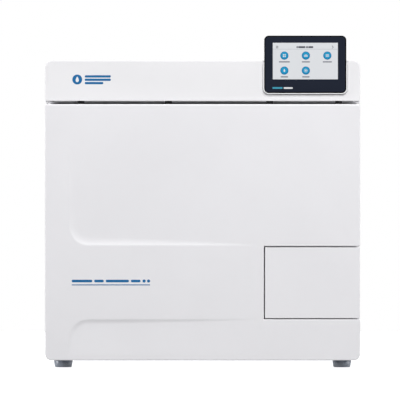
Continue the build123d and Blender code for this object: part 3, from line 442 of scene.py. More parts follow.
def tab(x, z, left, right, below, above, radius, steps):
    """Outline of a small rounded rectangle placed about (x, z), its measures in millimetres."""
    return rounded(x + left * MM, x + right * MM, z + below * MM, z + above * MM, radius * MM, steps)


def screw_head(bm, centre, axis, out, radius=3.4, height=1.7):
    """A pan-head screw with a hexagon socket; out is +1 or -1 along the axis."""
    r, h = radius * MM, height * MM
    profile = [(0, -0.2 * h), (0.95 * r, -0.2 * h), (r, 0.25 * h), (0.88 * r, 0.7 * h), (0.6 * r, h),
               (0.40 * r, h, 6), (0.38 * r, 0.35 * h, 6), (0, 0.35 * h)]
    turned(bm, profile, centre, axis, 24, out)


# ---------------------------------------------------------------- door skin

EDGE = 1.2 * MM              # rounding round the door's front
TOP_EDGE = 2.0 * MM          # and along its top
EDGE_STEPS = 5
FLAP_GAP = 1.5 * MM
SHEET_BACK = 0.12 * MM       # how far the flat front lies behind the CAD shell's front
CORNER = 9.6 * MM - EDGE     # radius of the sheet's two lower corners
TIGHT = 0.9 * MM             # and of its other corners
FINE, MEDIUM, WIDE = 0.95 * MM, 1.4 * MM, 6 * MM     # spacings of its grid
NEAR = 1e-6                  # slack when grid lines are compared

# The two pressed-in fields: places from the shell's left and bottom, and the steepest slope in degrees.
FIELD_LEFT, FIELD_RIGHT, FIELD_CORNER = 35 * MM, 318 * MM, 29 * MM
UPPER_END, UPPER_DEPTH, UPPER_SLOPE = 308 * MM, 1.7 * MM, 15
LOWER_EDGE, LOWER_END, LOWER_DEPTH, LOWER_SLOPE = 59.8 * MM, 8 * MM, 1.5 * MM, 21
CREASE = 0.7 * MM            # how softly a field starts
LEAST_INSIDE, LEAST_WIDTH = 0.02 * MM, 0.05 * MM
TAIL = 0.004                 # how softly a field fades out

PIN_X, PIN_Y = 12 * MM, 48 * MM      # the hinge's axis, from the shell's left and front
HINGE_RADIUS = 12 * MM
FRONT_WALL = 6.5 * MM
INSIDE = -0.7                # the shell's inside, as a share of its edge rounding


def stops(start, *spans):
    """Grid lines from start on, each span given by its end and its rough spacing."""
    values = [start]
    for end, spacing in spans:
        first = values[-1]
        count = max(1, round((end - first) / spacing))
        values += [first + (end - first) * (i + 1) / count for i in range(count)]
    return values


def fading(t):
    """Runs from 1 at t = 0 smoothly to about 0 from t = 1 on."""
    wave = math.cos(math.pi / 2 * t)
    return (wave + math.sqrt(wave * wave + TAIL)) / 2


def field_depth(x, z, low, edge, end_z, depth, steepest):
    """Depth of one pressed-in field: steepest at its edge, levelling out, and fading right and away."""
    left, end_x, radius = low.x + FIELD_LEFT, low.x + FIELD_RIGHT, FIELD_CORNER
    up = 1 if end_z > edge else -1
    across, along = x - left, up * (z - edge)
    if across < radius and along < radius:
        inside = radius - math.hypot(radius - across, radius - along)
    else:
        inside = min(across, along)
    inside = (inside + math.hypot(inside, CREASE)) / 2
    if inside < LEAST_INSIDE:
        return 0.0
    floor = depth * fading(max(0.0, across) / (end_x - left)) * fading(max(0.0, along) / abs(end_z - edge))
    width = max(LEAST_WIDTH, 2 * floor / math.tan(math.radians(steepest)))
    rise = 1 - (1 - min(1.0, inside / width)) ** 2
    return floor * rise


def sheet_lines(low, high, window):
    """The sheet's grid lines along X and Z, closest together where it bends."""
    cut_x, cut_z0, cut_z1 = window
    x0, x1, z0, z1 = low.x + EDGE, high.x - EDGE, low.z + EDGE, high.z - TOP_EDGE
    xs = stops(x0, (x0 + TIGHT, TIGHT), (x0 + CORNER, MEDIUM), (low.x + 32 * MM, WIDE),
               (low.x + 72 * MM, FINE), (cut_x, WIDE), (x1 - CORNER, WIDE), (x1 - TIGHT, MEDIUM),
               (x1, TIGHT))
    zs = stops(z0, (z0 + TIGHT, TIGHT), (z0 + CORNER, MEDIUM), (z0 + 28 * MM, 2.5 * MM), (cut_z0, FINE),
               (cut_z0 + TIGHT, TIGHT), (cut_z0 + 4 * MM, FINE), (cut_z1 - 3 * MM, WIDE),
               (cut_z1 - TIGHT, FINE), (cut_z1, TIGHT), (cut_z1 + TIGHT, TIGHT), (cut_z1 + 32 * MM, FINE),
               (z1 - TIGHT, WIDE), (z1, TIGHT))
    return xs, zs


def into_corner(x, z, corners):
    """Moves a grid point near a square corner so that the corner becomes a round one."""
    for cx, cz, sx, sz, radius in corners:
        a = (x - cx) * sx / radius + 1
        b = (z - cz) * sz / radius + 1
        if -NEAR <= a <= 1 + NEAR and -NEAR <= b <= 1 + NEAR:
            return (cx + sx * radius * (a * math.sqrt(1 - b * b / 2) - 1),
                    cz + sz * radius * (b * math.sqrt(1 - a * a / 2) - 1))
    return x, z


def door_sheet(bm, low, high, window):
    """The door's front as a sheet: flat but for two pressed-in fields, and cut away for the flap."""
    cut_x, cut_z0, cut_z1 = window
    xs, zs = sheet_lines(low, high, window)
    x0, x1, z0, z1 = xs[0], xs[-1], zs[0], zs[-1]
    corners = [(x0, z0, -1, -1, CORNER), (x1, z0, 1, -1, CORNER), (x0, z1, -1, 1, TIGHT),
               (x1, z1, 1, 1, TIGHT), (x1, cut_z0, 1, 1, TIGHT), (x1, cut_z1, 1, -1, TIGHT)]
    upper = (cut_z1 - EDGE + FLAP_GAP, low.z + UPPER_END, UPPER_DEPTH, UPPER_SLOPE)
    lower = (low.z + LOWER_EDGE, low.z + LOWER_END, LOWER_DEPTH, LOWER_SLOPE)
    verts = {}

    def vert(i, j):
        if (i, j) not in verts:
            x, z = into_corner(xs[i], zs[j], corners)
            depth = field_depth(x, z, low, *upper) + field_depth(x, z, low, *lower)
            verts[i, j] = bm.verts.new((x, low.y + SHEET_BACK + depth, z))
        return verts[i, j]

    for i in range(len(xs) - 1):
        for j in range(len(zs) - 1):
            middle = (zs[j] + zs[j + 1]) / 2
            if xs[i] >= cut_x - NEAR and cut_z0 < middle < cut_z1:
                continue
            bm.faces.new((vert(i, j), vert(i + 1, j), vert(i + 1, j + 1), vert(i, j + 1)))


def door_sides(bm, low, top_z):
    """Closes the sheet into a shell: rounded edge, sides, rounded hinge corner and hollow back."""
    loop = boundary_loop(bm)
    flat = [vert.co.copy() for vert in loop]
    outward = outline_normals(flat)
    pin_x, pin_y = low.x + PIN_X, low.y + PIN_Y

    def ring(share, level=None, rise=0.0):
        """A copy of the outline, drawn out by a share of its edge rounding, at y or behind the sheet."""
        verts = []
        for point, normal in zip(flat, outward):
            edge = TOP_EDGE if point.z > top_z - TIGHT / 2 else EDGE
            out = Vector((normal.x * EDGE, normal.y * edge))
            x, z = point.x + out.x * share, point.z + out.y * share
            y = point.y + rise * max(EDGE, min(edge, out.length)) if level is None else level
            if y > pin_y and x < pin_x:
                turn = min(1.0, (y - pin_y) / (HINGE_RADIUS * 1.02))
                x = pin_x - (pin_x - x) * math.sqrt(1 - turn ** 2)
            verts.append(bm.verts.new((x, y, z)))
        return verts

    rings = [loop]
    for k in range(1, EDGE_STEPS + 1):
        angle = math.pi / 2 * k / EDGE_STEPS
        rings.append(ring(math.sin(angle), rise=1 - math.cos(angle)))
    levels = [pin_y + HINGE_RADIUS * math.sin(math.radians(15 * k)) for k in range(7)]
    rings += [ring(1, level) for level in levels]
    rings += [ring(INSIDE, level) for level in reversed(levels)]
    rings.append(ring(INSIDE, low.y + FRONT_WALL))
    for first, second in zip(rings, rings[1:]):
        for k in range(len(first)):
            m = (k + 1) % len(first)
            bm.faces.new((first[k], first[m], second[m], second[k]))
    bm.faces.new(rings[-1])


def door_skin():
    """The door's white shell, cut away at its foot for the lower bracket and bored for the upper pin."""
    low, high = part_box("door_shell")
    flap_low, flap_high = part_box("service_flap")
    window = (flap_low.x - FLAP_GAP - EDGE, flap_low.z - FLAP_GAP - EDGE, flap_high.z + FLAP_GAP + EDGE)
    bm = bmesh.new()
    door_sheet(bm, low, high, window)
    door_sides(bm, low, high.z - TOP_EDGE)
    skin = new_piece("door_skin", bm, FINISHES["door_white"], "door")
    pin_x, pin_y, bore = low.x + PIN_X, low.y + PIN_Y, 5 * MM
    pocket = (low.x - MM, low.x + 27 * MM, pin_y - 14 * MM, high.y + MM, low.z - MM, low.z + 7.5 * MM)
    cut_away(skin, pocket, (pin_x, pin_y, high.z - 5 * MM, high.z + 5 * MM, bore))
    smooth(skin, 32.0)
    weighted = skin.modifiers.new("flat faces", "WEIGHTED_NORMAL")
    weighted.keep_sharp = True
    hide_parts("door_shell")


def boundary_loop(bm):
    """The vertices round a sheet's only boundary, in order."""
    edges = [edge for edge in bm.edges if edge.is_boundary]
    neighbours = {}
    for edge in edges:
        for vert in edge.verts:
            neighbours.setdefault(vert, []).append(edge.other_vert(vert))
    start = edges[0].verts[0]
    loop, last, here = [start], None, start
    while True:
        ahead = [vert for vert in neighbours[here] if vert is not last][0]
        if ahead is start:
            return loop
        loop.append(ahead)
        last, here = here, ahead


def outline_normals(points):
    """Outward directions in X and Z at each point of a closed outline, mitred at its corners."""
    count = len(points)
    area = sum(points[k].x * points[(k + 1) % count].z - points[(k + 1) % count].x * points[k].z
               for k in range(count))
    side = 1 if area > 0 else -1
    sides = []
    for k in range(count):
        step = points[(k + 1) % count] - points[k]
        sides.append(Vector((side * step.z, -side * step.x)).normalized())
    return [(sides[k - 1] + sides[k]) / (1 + sides[k - 1].dot(sides[k])) for k in range(count)]


def cut_away(obj, box, bore):
    """Cuts a box and an upright round bore out of a piece, and keeps the result as its mesh."""
    bm = bmesh.new()
    x0, x1, y0, y1, z0, z1 = box
    prism(bm, [(x0, z0), (x1, z0), (x1, z1), (x0, z1)], y0, y1)
    x, y, z0, z1, radius = bore
    turned(bm, [(0, z0), (radius, z0), (radius, z1), (0, z1)], (x, y, 0), "z", 36)
    bmesh.ops.recalc_face_normals(bm, faces=bm.faces)
    mesh = bpy.data.meshes.new("cutter")
    bm.to_mesh(mesh)
    bm.free()
    cutter = bpy.data.objects.new("cutter", mesh)
    bpy.context.scene.collection.objects.link(cutter)
    boolean = obj.modifiers.new("cut", "BOOLEAN")
    boolean.operation = "DIFFERENCE"
    boolean.solver = "EXACT"
    boolean.object = cutter
    bpy.context.view_layer.update()
    result = bpy.data.meshes.new_from_object(obj.evaluated_get(bpy.context.evaluated_depsgraph_get()))
    obj.modifiers.clear()
    old = obj.data
    obj.data = result
    bpy.data.meshes.remove(old)
    bpy.data.objects.remove(cutter)
    bpy.data.meshes.remove(mesh)


door_skin()


# ---------------------------------------------------------------- display screen

LAYER = 0.12 * MM            # each layer of the screen stands this far in front of the last
SCREEN_LEFT, SCREEN_RIGHT, SCREEN_BELOW, SCREEN_ABOVE = 12.6 * MM, 12.4 * MM, 20.2 * MM, 10.5 * MM
COLUMNS = (3, 2)             # menu entries in each row
FIRST_COLUMN, COLUMN_STEP = 0.178, 0.33      # shares of the screen's width
FIRST_ROW, ROW_STEP = 0.35, 0.41             # shares of its height, from the top
CAPTION_HALVES = (8.0, 6.0, 6.6, 5.4, 5.4)   # half of each caption's width in millimetres
DISC_RADIUS, CENTRE_RADIUS = 6.0 * MM, 4.7 * MM


def printed(name, outlines, material, level):
    """Flat shapes on the display's glass, so many layers up."""
    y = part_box("display_glass")[0].y
    bm = bmesh.new()
    for outline in outlines:
        prism(bm, outline, y - level * LAYER, y - (level - 1) * LAYER + 0.02 * MM)
    new_piece(name, bm, material, "display")


def header_shapes(x0, x1, header):
    """The header's menu bars, its title as four plain dashes, and a chevron."""
    width = x1 - x0
    bars = [tab(x0, header, 4.6, 8, z, z + 0.6, 0.2, 2) for z in (-0.6, 0.7, 2.0)]
    title = [rounded(x0 + width * a, x0 + width * b, header - 0.4 * MM, header + 2.2 * MM, 0.5 * MM, 4)
             for a, b in ((0.365, 0.385), (0.392, 0.50), (0.512, 0.54), (0.547, 0.62))]
    tip_x, tip_z, arm, thick = x1 - 6.2 * MM, header + 0.9 * MM, 2 * MM, 0.9 * MM
    chevron = [(tip_x, tip_z), (tip_x - arm, tip_z + arm), (tip_x - arm - thick, tip_z + arm),
               (tip_x - thick, tip_z), (tip_x - arm - thick, tip_z - arm), (tip_x - arm, tip_z - arm)]
    return bars + title + [chevron]


def sign_shapes(kind, cx, cz):
    """The plain sign in one disc: four squares, a stack, three bars, a drop or a wheel of dots."""
    if kind == 0:
        return [tab(cx, cz, dx - 0.9, dx + 0.9, dz - 0.9, dz + 0.9, 0.2, 2)
                for dx in (-1.2, 1.2) for dz in (-1.2, 1.2)]
    if kind == 1:
        return [tab(cx, cz, -2.6, 2.6, -1.5, 0.2, 0.4, 3), tab(cx, cz, -1.7, 1.7, 0.7, 1.5, 0.3, 3)]
    if kind == 2:
        return [tab(cx, cz, -2.4, 2.4, dz, dz + 0.7, 0.2, 2) for dz in (-1.7, -0.35, 1.0)]
    if kind == 3:
        return [drop(cx, cz - 0.2 * MM, 2.3 * MM)]
    dots, reach = 8, 2.2 * MM
    wheel = [circle(cx, cz, 1.1 * MM, 24)]
    for i in range(dots):
        angle = 2 * math.pi * i / dots
        wheel.append(circle(cx + reach * math.cos(angle), cz + reach * math.sin(angle), 0.5 * MM, 12))
    return wheel


def screen():
    """The lit screen on the front glass with its plain, unlettered menu."""
    low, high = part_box("display_glass")
    x0, x1 = low.x + SCREEN_LEFT, high.x - SCREEN_RIGHT
    z0, z1 = low.z + SCREEN_BELOW, high.z - SCREEN_ABOVE
    width, height = x1 - x0, z1 - z0
    header = z1 - 7.2 * MM
    pale = lit("screen light", (0.80, 0.82, 0.85), 0.33)
    ink = lit("screen ink", (0.12, 0.13, 0.16), 0.1)
    soft_ink = lit("screen caption", (0.30, 0.31, 0.35), 0.3)
    disc = lit("screen disc", (0.010, 0.19, 0.40), 0.45)
    printed("screen_field", [rounded(x0, x1, z0, z1, 0.4 * MM)], pale, 1)
    printed("screen_header", header_shapes(x0, x1, header), ink, 2)
    divider = rounded(x0, x1, header - 2.2 * MM, header - 1.9 * MM, 0.1 * MM, 2)
    printed("screen_divider", [divider], soft_ink, 2)
    middles = []
    for row, columns in enumerate(COLUMNS):
        cz = z1 - height * (FIRST_ROW + ROW_STEP * row)
        middles += [(x0 + width * (FIRST_COLUMN + COLUMN_STEP * column), cz) for column in range(columns)]
    printed("screen_discs", [circle(cx, cz, DISC_RADIUS) for cx, cz in middles], disc, 2)
    centres = [circle(cx, cz + 0.5 * MM, CENTRE_RADIUS) for cx, cz in middles]
    printed("screen_disc_centres", centres, lit("disc centre", (0.02, 0.29, 0.52), 0.5), 2.5)
    captions = [tab(cx, cz, -half, half, -10.1, -8.2, 0.8, 4)
                for (cx, cz), half in zip(middles, CAPTION_HALVES)]
    printed("screen_captions", captions, soft_ink, 2)
    signs = []
    for kind, (cx, cz) in enumerate(middles):
        signs += sign_shapes(kind, cx, cz)
    printed("screen_signs", signs, pale, 3)
    bottom = low.z + 6.3 * MM
    teal = lit("status light", (0.05, 0.30, 0.42), 0.5)
    printed("status_bar", [tab(x0, bottom, -0.4, 14.2, 0, 2.6, 0.6, 4)], teal, 1)
    printed("proximity_window", [tab(x0, bottom, 16, 29, 0, 2.4, 0.6, 4)], pale, 1)


# ---------------------------------------------------------------- plain marks on the casing

def hood_marks(ink):
    """On the hood: a blue disc with a white drop, beside three bars."""
    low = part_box("top_cover")[0]
    x0, z0 = low.x + 40 * MM, low.z + 24 * MM
    front, back = low.y - 0.15 * MM, low.y + 0.05 * MM
    bm = bmesh.new()
    prism(bm, circle(x0 + 7 * MM, z0 + 7 * MM, 7.2 * MM, 48), front, back)
    for length, z in ((38, 9.9), (38, 5.0), (27, 0.1)):
        prism(bm, tab(x0, z0, 18, 18 + length, z, z + 3.3, 1.5, 6), front, back)
    new_piece("hood_mark", bm, ink, "root")
    bm = bmesh.new()
    prism(bm, drop(x0 + 7 * MM, z0 + 6.4 * MM, 4.2 * MM), front - 0.12 * MM, front + 0.02 * MM)
    new_piece("hood_mark_drop", bm, FINISHES["hood_white"], "root")


def door_marks(ink):
    """On the door: a row of four bars and two dots over a thin line."""
    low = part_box("door_shell")[0]
    x0, z0 = low.x + 39 * MM, low.z + 109.6 * MM
    front, back = low.y, low.y + 0.3 * MM
    bm = bmesh.new()
    start = 0
    for length in (30, 14, 34, 14):
        prism(bm, tab(x0, z0, start, start + length, 4.4, 8.2, 1.8, 6), front, back)
        start += length + 2.8
    for dot in (2.4, 9.0):
        prism(bm, circle(x0 + (start + dot) * MM, z0 + 6.3 * MM, 2.3 * MM, 24), front, back)
    prism(bm, tab(x0, z0, 0, start + 11.3, 0, 1.3, 0.6, 4), front, back)
    new_piece("door_mark", bm, ink, "door")


BLUE_INK = glossy("blue ink", BLUE, rough=0.3, specular=0.3)

screen()
hood_marks(BLUE_INK)
door_marks(BLUE_INK)


# ---------------------------------------------------------------- smaller pieces

# Bevel widths in millimetres.
SOFT_EDGES = {
    "service_flap": 0.7, "tank_lid": 0.6, "display_shell": 0.5, "rear_panel": 0.4, "front_frame": 0.5,
    "service_box": 0.5, "door_liner": 0.8, "door_frame": 0.6, "lock_housing": 0.6, "display_glass": 0.3,
    "drain_cap_left": 0.5, "drain_cap_right": 0.5, "mains_switch_frame": 0.5, "reset_button": 0.5,
    "mains_rocker": 0.4, "usb_socket": 0.2, "tank_shelf": 0.3, "trays": 0.2, "power_inlet": 0.4,
}
WELD_WITHIN = 0.002 * MM
SHARP = 40                   # degrees between faces, from which an edge is rounded


def soft_edges():
    """Small rounds on the sharp edges of CAD nodes, as modifiers that leave their meshes alone."""
    for node, width in SOFT_EDGES.items():
        obj = frame["nodes"][node]
        obj.modifiers.new("weld", "WELD").merge_threshold = WELD_WITHIN
        bevel = obj.modifiers.new("bevel", "BEVEL")
        bevel.width = width * MM
        bevel.segments = 2
        bevel.limit_method = "ANGLE"
        bevel.angle_limit = math.radians(SHARP)
        bevel.use_clamp_overlap = False
        bevel.harden_normals = True


def display_border():
    """The black printed border round the edge of the display's glass."""
    low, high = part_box("display_glass")
    margin, inset = 0.2 * MM, 1.7 * MM
    outer = rounded(low.x + margin, high.x - margin, low.z + margin, high.z - margin, 6.5 * MM)
    inner = rounded(low.x + inset, high.x - inset, low.z + inset, high.z - inset, 5.2 * MM)
    bm = bmesh.new()
    ring_prism(bm, outer, inner, low.y - 0.1 * MM, low.y + 0.05 * MM)
    black = glossy("black glass print", (0.0015, 0.0015, 0.002), rough=0.2, specular=0.08)
    new_piece("display_border", bm, black, "display")


def gap_strips():
    """The grey seal under the hood's front edge, in lengths between the buffer blocks."""
    low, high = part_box("cover_buffers")
    hood_low, hood_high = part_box("top_cover")
    block, shortest = 10 * MM, 2 * MM
    middle = (low.x + high.x) / 2
    blocks = (low.x, middle - 65.5 * MM, middle + 82.5 * MM, high.x - block)
    lefts = [hood_low.x + 9 * MM] + [x + block for x in blocks]
    rights = list(blocks) + [hood_high.x - 3 * MM]
    bottom, top = hood_low.z - 2.1 * MM, hood_low.z + 0.05 * MM
    grey = rubbery("seal rubber", (0.34, 0.345, 0.35), rough=0.5)
    bm = bmesh.new()
    for x0, x1 in zip(lefts, rights):
        if x1 - x0 > shortest:
            outline = [(x0, bottom), (x1, bottom), (x1, top), (x0, top)]
            prism(bm, outline, low.y - 1.5 * MM, low.y + 4 * MM, 0.6 * MM)
    new_piece("hood_gap_seal", bm, grey, "root")


def gap_end(name, side, length):
    """The hood's white lip that closes one end of the gap above the door: side -1 is left, 1 is right."""
    low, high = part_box("top_cover")
    end = high.x if side > 0 else low.x
    front, back = low.y + 2.5 * MM, low.y + 24 * MM
    z0, z1 = low.z - 3.6 * MM, low.z + 0.05 * MM
    plan = [(0.4 * MM, front + MM), (1.4 * MM, front), (6.4 * MM, front + 1.5 * MM), (length, back),
            (0.4 * MM, back)]
    outline = [(end - side * inwards, y) for inwards, y in plan]
    bm = bmesh.new()
    top = [bm.verts.new((x, y, z1)) for x, y in outline]
    bottom = [bm.verts.new((x, y, z0)) for x, y in outline]
    bm.faces.new(top)
    bm.faces.new(reversed(bottom))
    for i in range(len(outline)):
        bm.faces.new((top[i - 1], top[i], bottom[i], bottom[i - 1]))
    new_piece(name, bm, FINISHES["hood_white"], "root")


def pocket_path(gap):
    """The U round the display's left, bottom and right sides, as (x, z) points with outward normals."""
    low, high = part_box("display_glass")
    radius = 6.7 * MM + gap
    top_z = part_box("top_cover")[1].z - 3.2 * MM
    steps = 12
    path = [(low.x - gap, top_z)]
    for cx, start in ((low.x - gap + radius, 180), (high.x + gap - radius, 270)):
        for i in range(steps + 1):
            angle = math.radians(start + 90 * i / steps)
            path.append((cx + radius * math.cos(angle), low.z - gap + radius + radius * math.sin(angle)))
    path.append((high.x + gap, top_z))
    normals = []
    for i in range(len(path)):
        (xa, za), (xb, zb) = path[max(0, i - 1)], path[min(len(path) - 1, i + 1)]
        length = math.hypot(xb - xa, zb - za)
        normals.append(((zb - za) / length, (xa - xb) / length))
    return path, normals


def pocket_strip(name, gap, section, face, material, body):
    """A strip along the pocket: section is (distance outwards, distance behind face) in mm."""
    path, normals = pocket_path(gap * MM)
    bm = bmesh.new()
    rows = [[bm.verts.new((x + nx * out * MM, face + deep * MM, z + nz * out * MM))
             for out, deep in section] for (x, z), (nx, nz) in zip(path, normals)]
    for first, second in zip(rows, rows[1:]):
        for i in range(len(section)):
            bm.faces.new((first[i - 1], first[i], second[i], second[i - 1]))
    bm.faces.new(rows[0])
    bm.faces.new(reversed(rows[-1]))
    smooth(new_piece(name, bm, material, body), 50.0)


def pocket_strips():
    """The pocket's raised edge on the hood, and the white edge round the display, which tilts with it."""
    raised = [(-0.1, 0.6), (-0.1, 0.0), (0.15, -0.35), (0.6, -0.5), (1.1, -0.35), (1.5, 0.0), (1.5, 0.6)]
    hood_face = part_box("top_cover")[0].y
    pocket_strip("pocket_rim", 2.6, raised, hood_face, FINISHES["hood_white"], "root")
    edge = [(-0.1, 2.6), (-0.1, 0.3), (0.1, 0.1), (1.0, 0.1), (1.3, 0.4), (1.3, 2.6)]
    glass_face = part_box("display_glass")[0].y
    white = moulded("display edge white", (0.86, 0.86, 0.87), rough=0.3)
    pocket_strip("display_edge", 0.0, edge, glass_face, white, "display")


def barbed_tails():
    """The two hose tails: hexagon flanges, three barbs each, bored through."""
    low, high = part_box("hose_tails")
    flange = 12 * MM
    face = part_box("rear_panel")[1].y
    # The profile is (radius, distance behind the panel, flats if any) in millimetres.
    root, tip = (low.y - face) / MM, (high.y - face) / MM
    profile = [(3, root), (8, root), (8, 0), (10.6, 0, 6), (10.9, 0.5, 6), (10.9, 3.5, 6), (10.4, 4, 6),
               (5.6, 4), (4.4, 5.5), (4.4, 7), (5.7, 7.3), (4.6, 11), (5.7, 11.3), (4.6, 15), (5.6, 15.3),
               (4.1, tip), (3, tip)]
    bm = bmesh.new()
    for x in (low.x + flange, high.x - flange):
        turned(bm, in_mm(profile), (x, face, (low.z + high.z) / 2), "y", 48)
    tails = new_piece("barbed_hose_tails", bm, FINISHES["brass"], "root")
    smooth(tails, 35.0)
    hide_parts("hose_tails")


def rubber_feet():
    """Four turned feet with rounded soles, a groove, and a screw up inside each."""
    # Both profiles are (radius, height, flats if any) in millimetres.
    low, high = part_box("feet")
    radius = 14 * MM
    body = [(0, 12), (14, 12), (14, 9.9), (13.7, 9.6), (13.7, 9.1), (13.9, 8.7), (12.9, 1.7), (12.5, 0.6),
            (11.5, 0), (7, 0), (6.2, 0.8), (6, 5), (0, 5)]
    screw = [(0, 5), (4.6, 5), (4.8, 3.9), (3.9, 2.8), (2.2, 2.6, 6), (2.1, 3.9, 6), (0, 3.9)]
    rubber, steel = bmesh.new(), bmesh.new()
    for x in (low.x + radius, high.x - radius):
        for y in (low.y + radius, high.y - radius):
            turned(rubber, in_mm(body), (x, y, 0), "z", 56)
            turned(steel, in_mm(screw), (x, y, 0), "z", 24)
    feet = new_piece("rubber_feet", rubber, FINISHES["foot_rubber"], "root")
    smooth(feet, 50.0)
    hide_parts("feet")
    smooth(new_piece("foot_screws", steel, FINISHES["machined_steel"], "root"), 40.0)


def rear_screws():
    """Screws round the back panel and round the cooling fan."""
    low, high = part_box("rear_panel")
    fan_low, fan_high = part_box("fan_frame")
    y, margin, fan_margin = high.y, 9 * MM, 6 * MM
    bm = bmesh.new()
    across = [low.x + margin + (high.x - low.x - 2 * margin) * i / 3 for i in range(4)]
    for x in across:
        for z in (low.z + margin, high.z - margin):
            screw_head(bm, (x, y, z), "y", 1)
    for x in (across[0], across[-1]):
        for i in (1, 2):
            screw_head(bm, (x, y, low.z + (high.z - low.z) * i / 3), "y", 1)
    for x in (fan_low.x + fan_margin, fan_high.x - fan_margin):
        for z in (fan_low.z + fan_margin, fan_high.z - fan_margin):
            screw_head(bm, (x, y, z), "y", 1, 3.0, 1.5)
    smooth(new_piece("rear_screws", bm, FINISHES["machined_steel"], "root"), 35.0)


def data_plate():
    """A blank plate on the back panel, held by two rivets."""
    low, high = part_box("rear_panel")
    y, width, height, inset = high.y, 84 * MM, 48 * MM, 5 * MM
    x0, z0 = low.x + 50 * MM, high.z - 92 * MM
    bm = bmesh.new()
    prism(bm, rounded(x0, x0 + width, z0, z0 + height, 3 * MM), y + 0.6 * MM, y - 0.1 * MM, 0.2 * MM)
    new_piece("data_plate", bm, FINISHES["stainless"], "root")
    rivet = [(0, 0), (1.8, 0), (1.7, 0.5), (1.0, 0.95), (0, 1.1)]
    bm = bmesh.new()
    for x in (x0 + inset, x0 + width - inset):
        turned(bm, in_mm(rivet), (x, y + 0.5 * MM, z0 + height / 2), "y", 24)
    smooth(new_piece("plate_rivets", bm, FINISHES["cast_alloy"], "root"), 60.0)


def liner_screws():
    """Low screws round the door's back plate, riding on the door."""
    low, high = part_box("door_liner")
    bm = bmesh.new()
    places = [(low.x + 40 * MM, high.z - 10 * MM), (high.x - 12 * MM, high.z - 10 * MM),
              (low.x + 150 * MM, high.z - 10 * MM), (high.x - 110 * MM, high.z - 10 * MM),
              (low.x + 40 * MM, low.z + 10 * MM), (low.x + 200 * MM, low.z + 10 * MM),
              (high.x - 14 * MM, low.z + 12 * MM), (high.x - 12 * MM, high.z - 190 * MM),
              (high.x - 12 * MM, high.z - 100 * MM)]
    for x, z in places:
        screw_head(bm, (x, high.y, z), "y", 1, 3.6, 1.2)
    smooth(new_piece("liner_screws", bm, FINISHES["machined_steel"], "door"), 35.0)


soft_edges()
display_border()
gap_strips()
gap_end("hood_gap_end", -1, 26 * MM)
gap_end("hood_gap_end_right", 1, 24 * MM)
pocket_strips()
barbed_tails()
rubber_feet()
rear_screws()
data_plate()
liner_screws()


# ---------------------------------------------------------------- floor, light, camera

SKY_LIGHT = (0.09, 0.42)         # from below and from overhead
FLOOR_RADIUS, FLOOR_GLOW = 2.2, 0.86

# In metres; the distance is from the machine's front, and the frame's width is there too.
CAMERA_DISTANCE, FRAME_WIDTH = 9.0, 0.5836
CAMERA_X, CAMERA_HEIGHT = -0.0038, 0.2461

# Name, place and size in metres, and power in watts.
LAMPS = (("key", (0.5, -2.5, 2.3), 2.0, 97.0), ("back_fill", (-0.6, 2.8, 0.9), 1.6, 36.0),
         ("left_fill", (-2.6, -0.5, 0.55), 1.6, 44.0), ("right_fill", (2.6, -0.3, 0.55), 1.6, 28.0))


def stage_floor():
    """A pale floor that glows a little, so that it looks white, and lights nothing itself."""
    bm = bmesh.new()
    bmesh.ops.create_circle(bm, cap_ends=True, segments=96, radius=FLOOR_RADIUS)
    mesh = bpy.data.meshes.new("floor")
    bm.to_mesh(mesh)
    bm.free()
    floor = bpy.data.objects.new("floor", mesh)
    bpy.context.scene.collection.objects.link(floor)
    pale = Shader("pale floor")
    clouds = pale.ranged(pale.noise(1.5), 0.0, 1.0)
    pale.colour(pale.mixed(clouds, (0.70, 0.70, 0.70), (0.72, 0.72, 0.72)))
    pale.roughness(pale.ranged(pale.noise(4.0), 0.6, 0.7))
    pale.set(Emission_Strength=FLOOR_GLOW, Emission_Color=(1.0, 1.0, 1.0, 1.0))
    mesh.materials.append(pale.material)
    floor.visible_diffuse = False


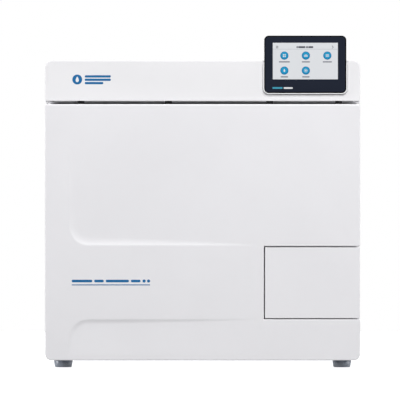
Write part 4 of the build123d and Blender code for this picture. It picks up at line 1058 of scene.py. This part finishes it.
def sky():
    """A white backdrop to the camera, and to the rest a dim light that is brightest overhead."""
    world = bpy.data.worlds.new("studio")
    world.use_nodes = True
    nodes, links = world.node_tree.nodes, world.node_tree.links
    direction = nodes.new("ShaderNodeTexCoord")
    split = nodes.new("ShaderNodeSeparateXYZ")
    links.new(direction.outputs["Generated"], split.inputs["Vector"])
    glow = nodes.new("ShaderNodeMapRange")
    glow.inputs["From Min"].default_value = -1.0
    glow.inputs["To Min"].default_value, glow.inputs["To Max"].default_value = SKY_LIGHT
    links.new(split.outputs["Z"], glow.inputs["Value"])
    seen = nodes.new("ShaderNodeLightPath")
    strength = nodes.new("ShaderNodeMix")
    strength.inputs["B"].default_value = 1.0
    links.new(seen.outputs["Is Camera Ray"], strength.inputs["Factor"])
    links.new(glow.outputs["Result"], strength.inputs["A"])
    links.new(strength.outputs["Result"], nodes["Background"].inputs["Strength"])
    nodes["Background"].inputs["Color"].default_value = (1.0, 1.0, 1.0, 1.0)
    bpy.context.scene.world = world


def lamps():
    """Square lamps, all aimed at the middle of the machine."""
    middle = (Vector(CAD_BOX[0]) + Vector(CAD_BOX[1])) / 2
    for name, place, size, power in LAMPS:
        light = bpy.data.lights.new(name, "AREA")
        light.shape = "SQUARE"
        light.size = size
        light.energy = power
        lamp = bpy.data.objects.new(name, light)
        lamp.location = place
        lamp.rotation_euler = (middle - Vector(place)).to_track_quat("-Z", "Y").to_euler()
        bpy.context.scene.collection.objects.link(lamp)


def front_camera():
    """A level camera, square on to the front and far away."""
    data = bpy.data.cameras.new("camera")
    data.lens = data.sensor_width * CAMERA_DISTANCE / FRAME_WIDTH
    camera = bpy.data.objects.new("camera", data)
    camera.location = (CAMERA_X, CAD_BOX[0][1] - CAMERA_DISTANCE, CAMERA_HEIGHT)
    camera.rotation_euler = (math.radians(90), 0, 0)
    bpy.context.scene.collection.objects.link(camera)
    bpy.context.scene.camera = camera


bpy.context.scene.view_settings.view_transform = "Standard"
stage_floor()
sky()
lamps()
front_camera()
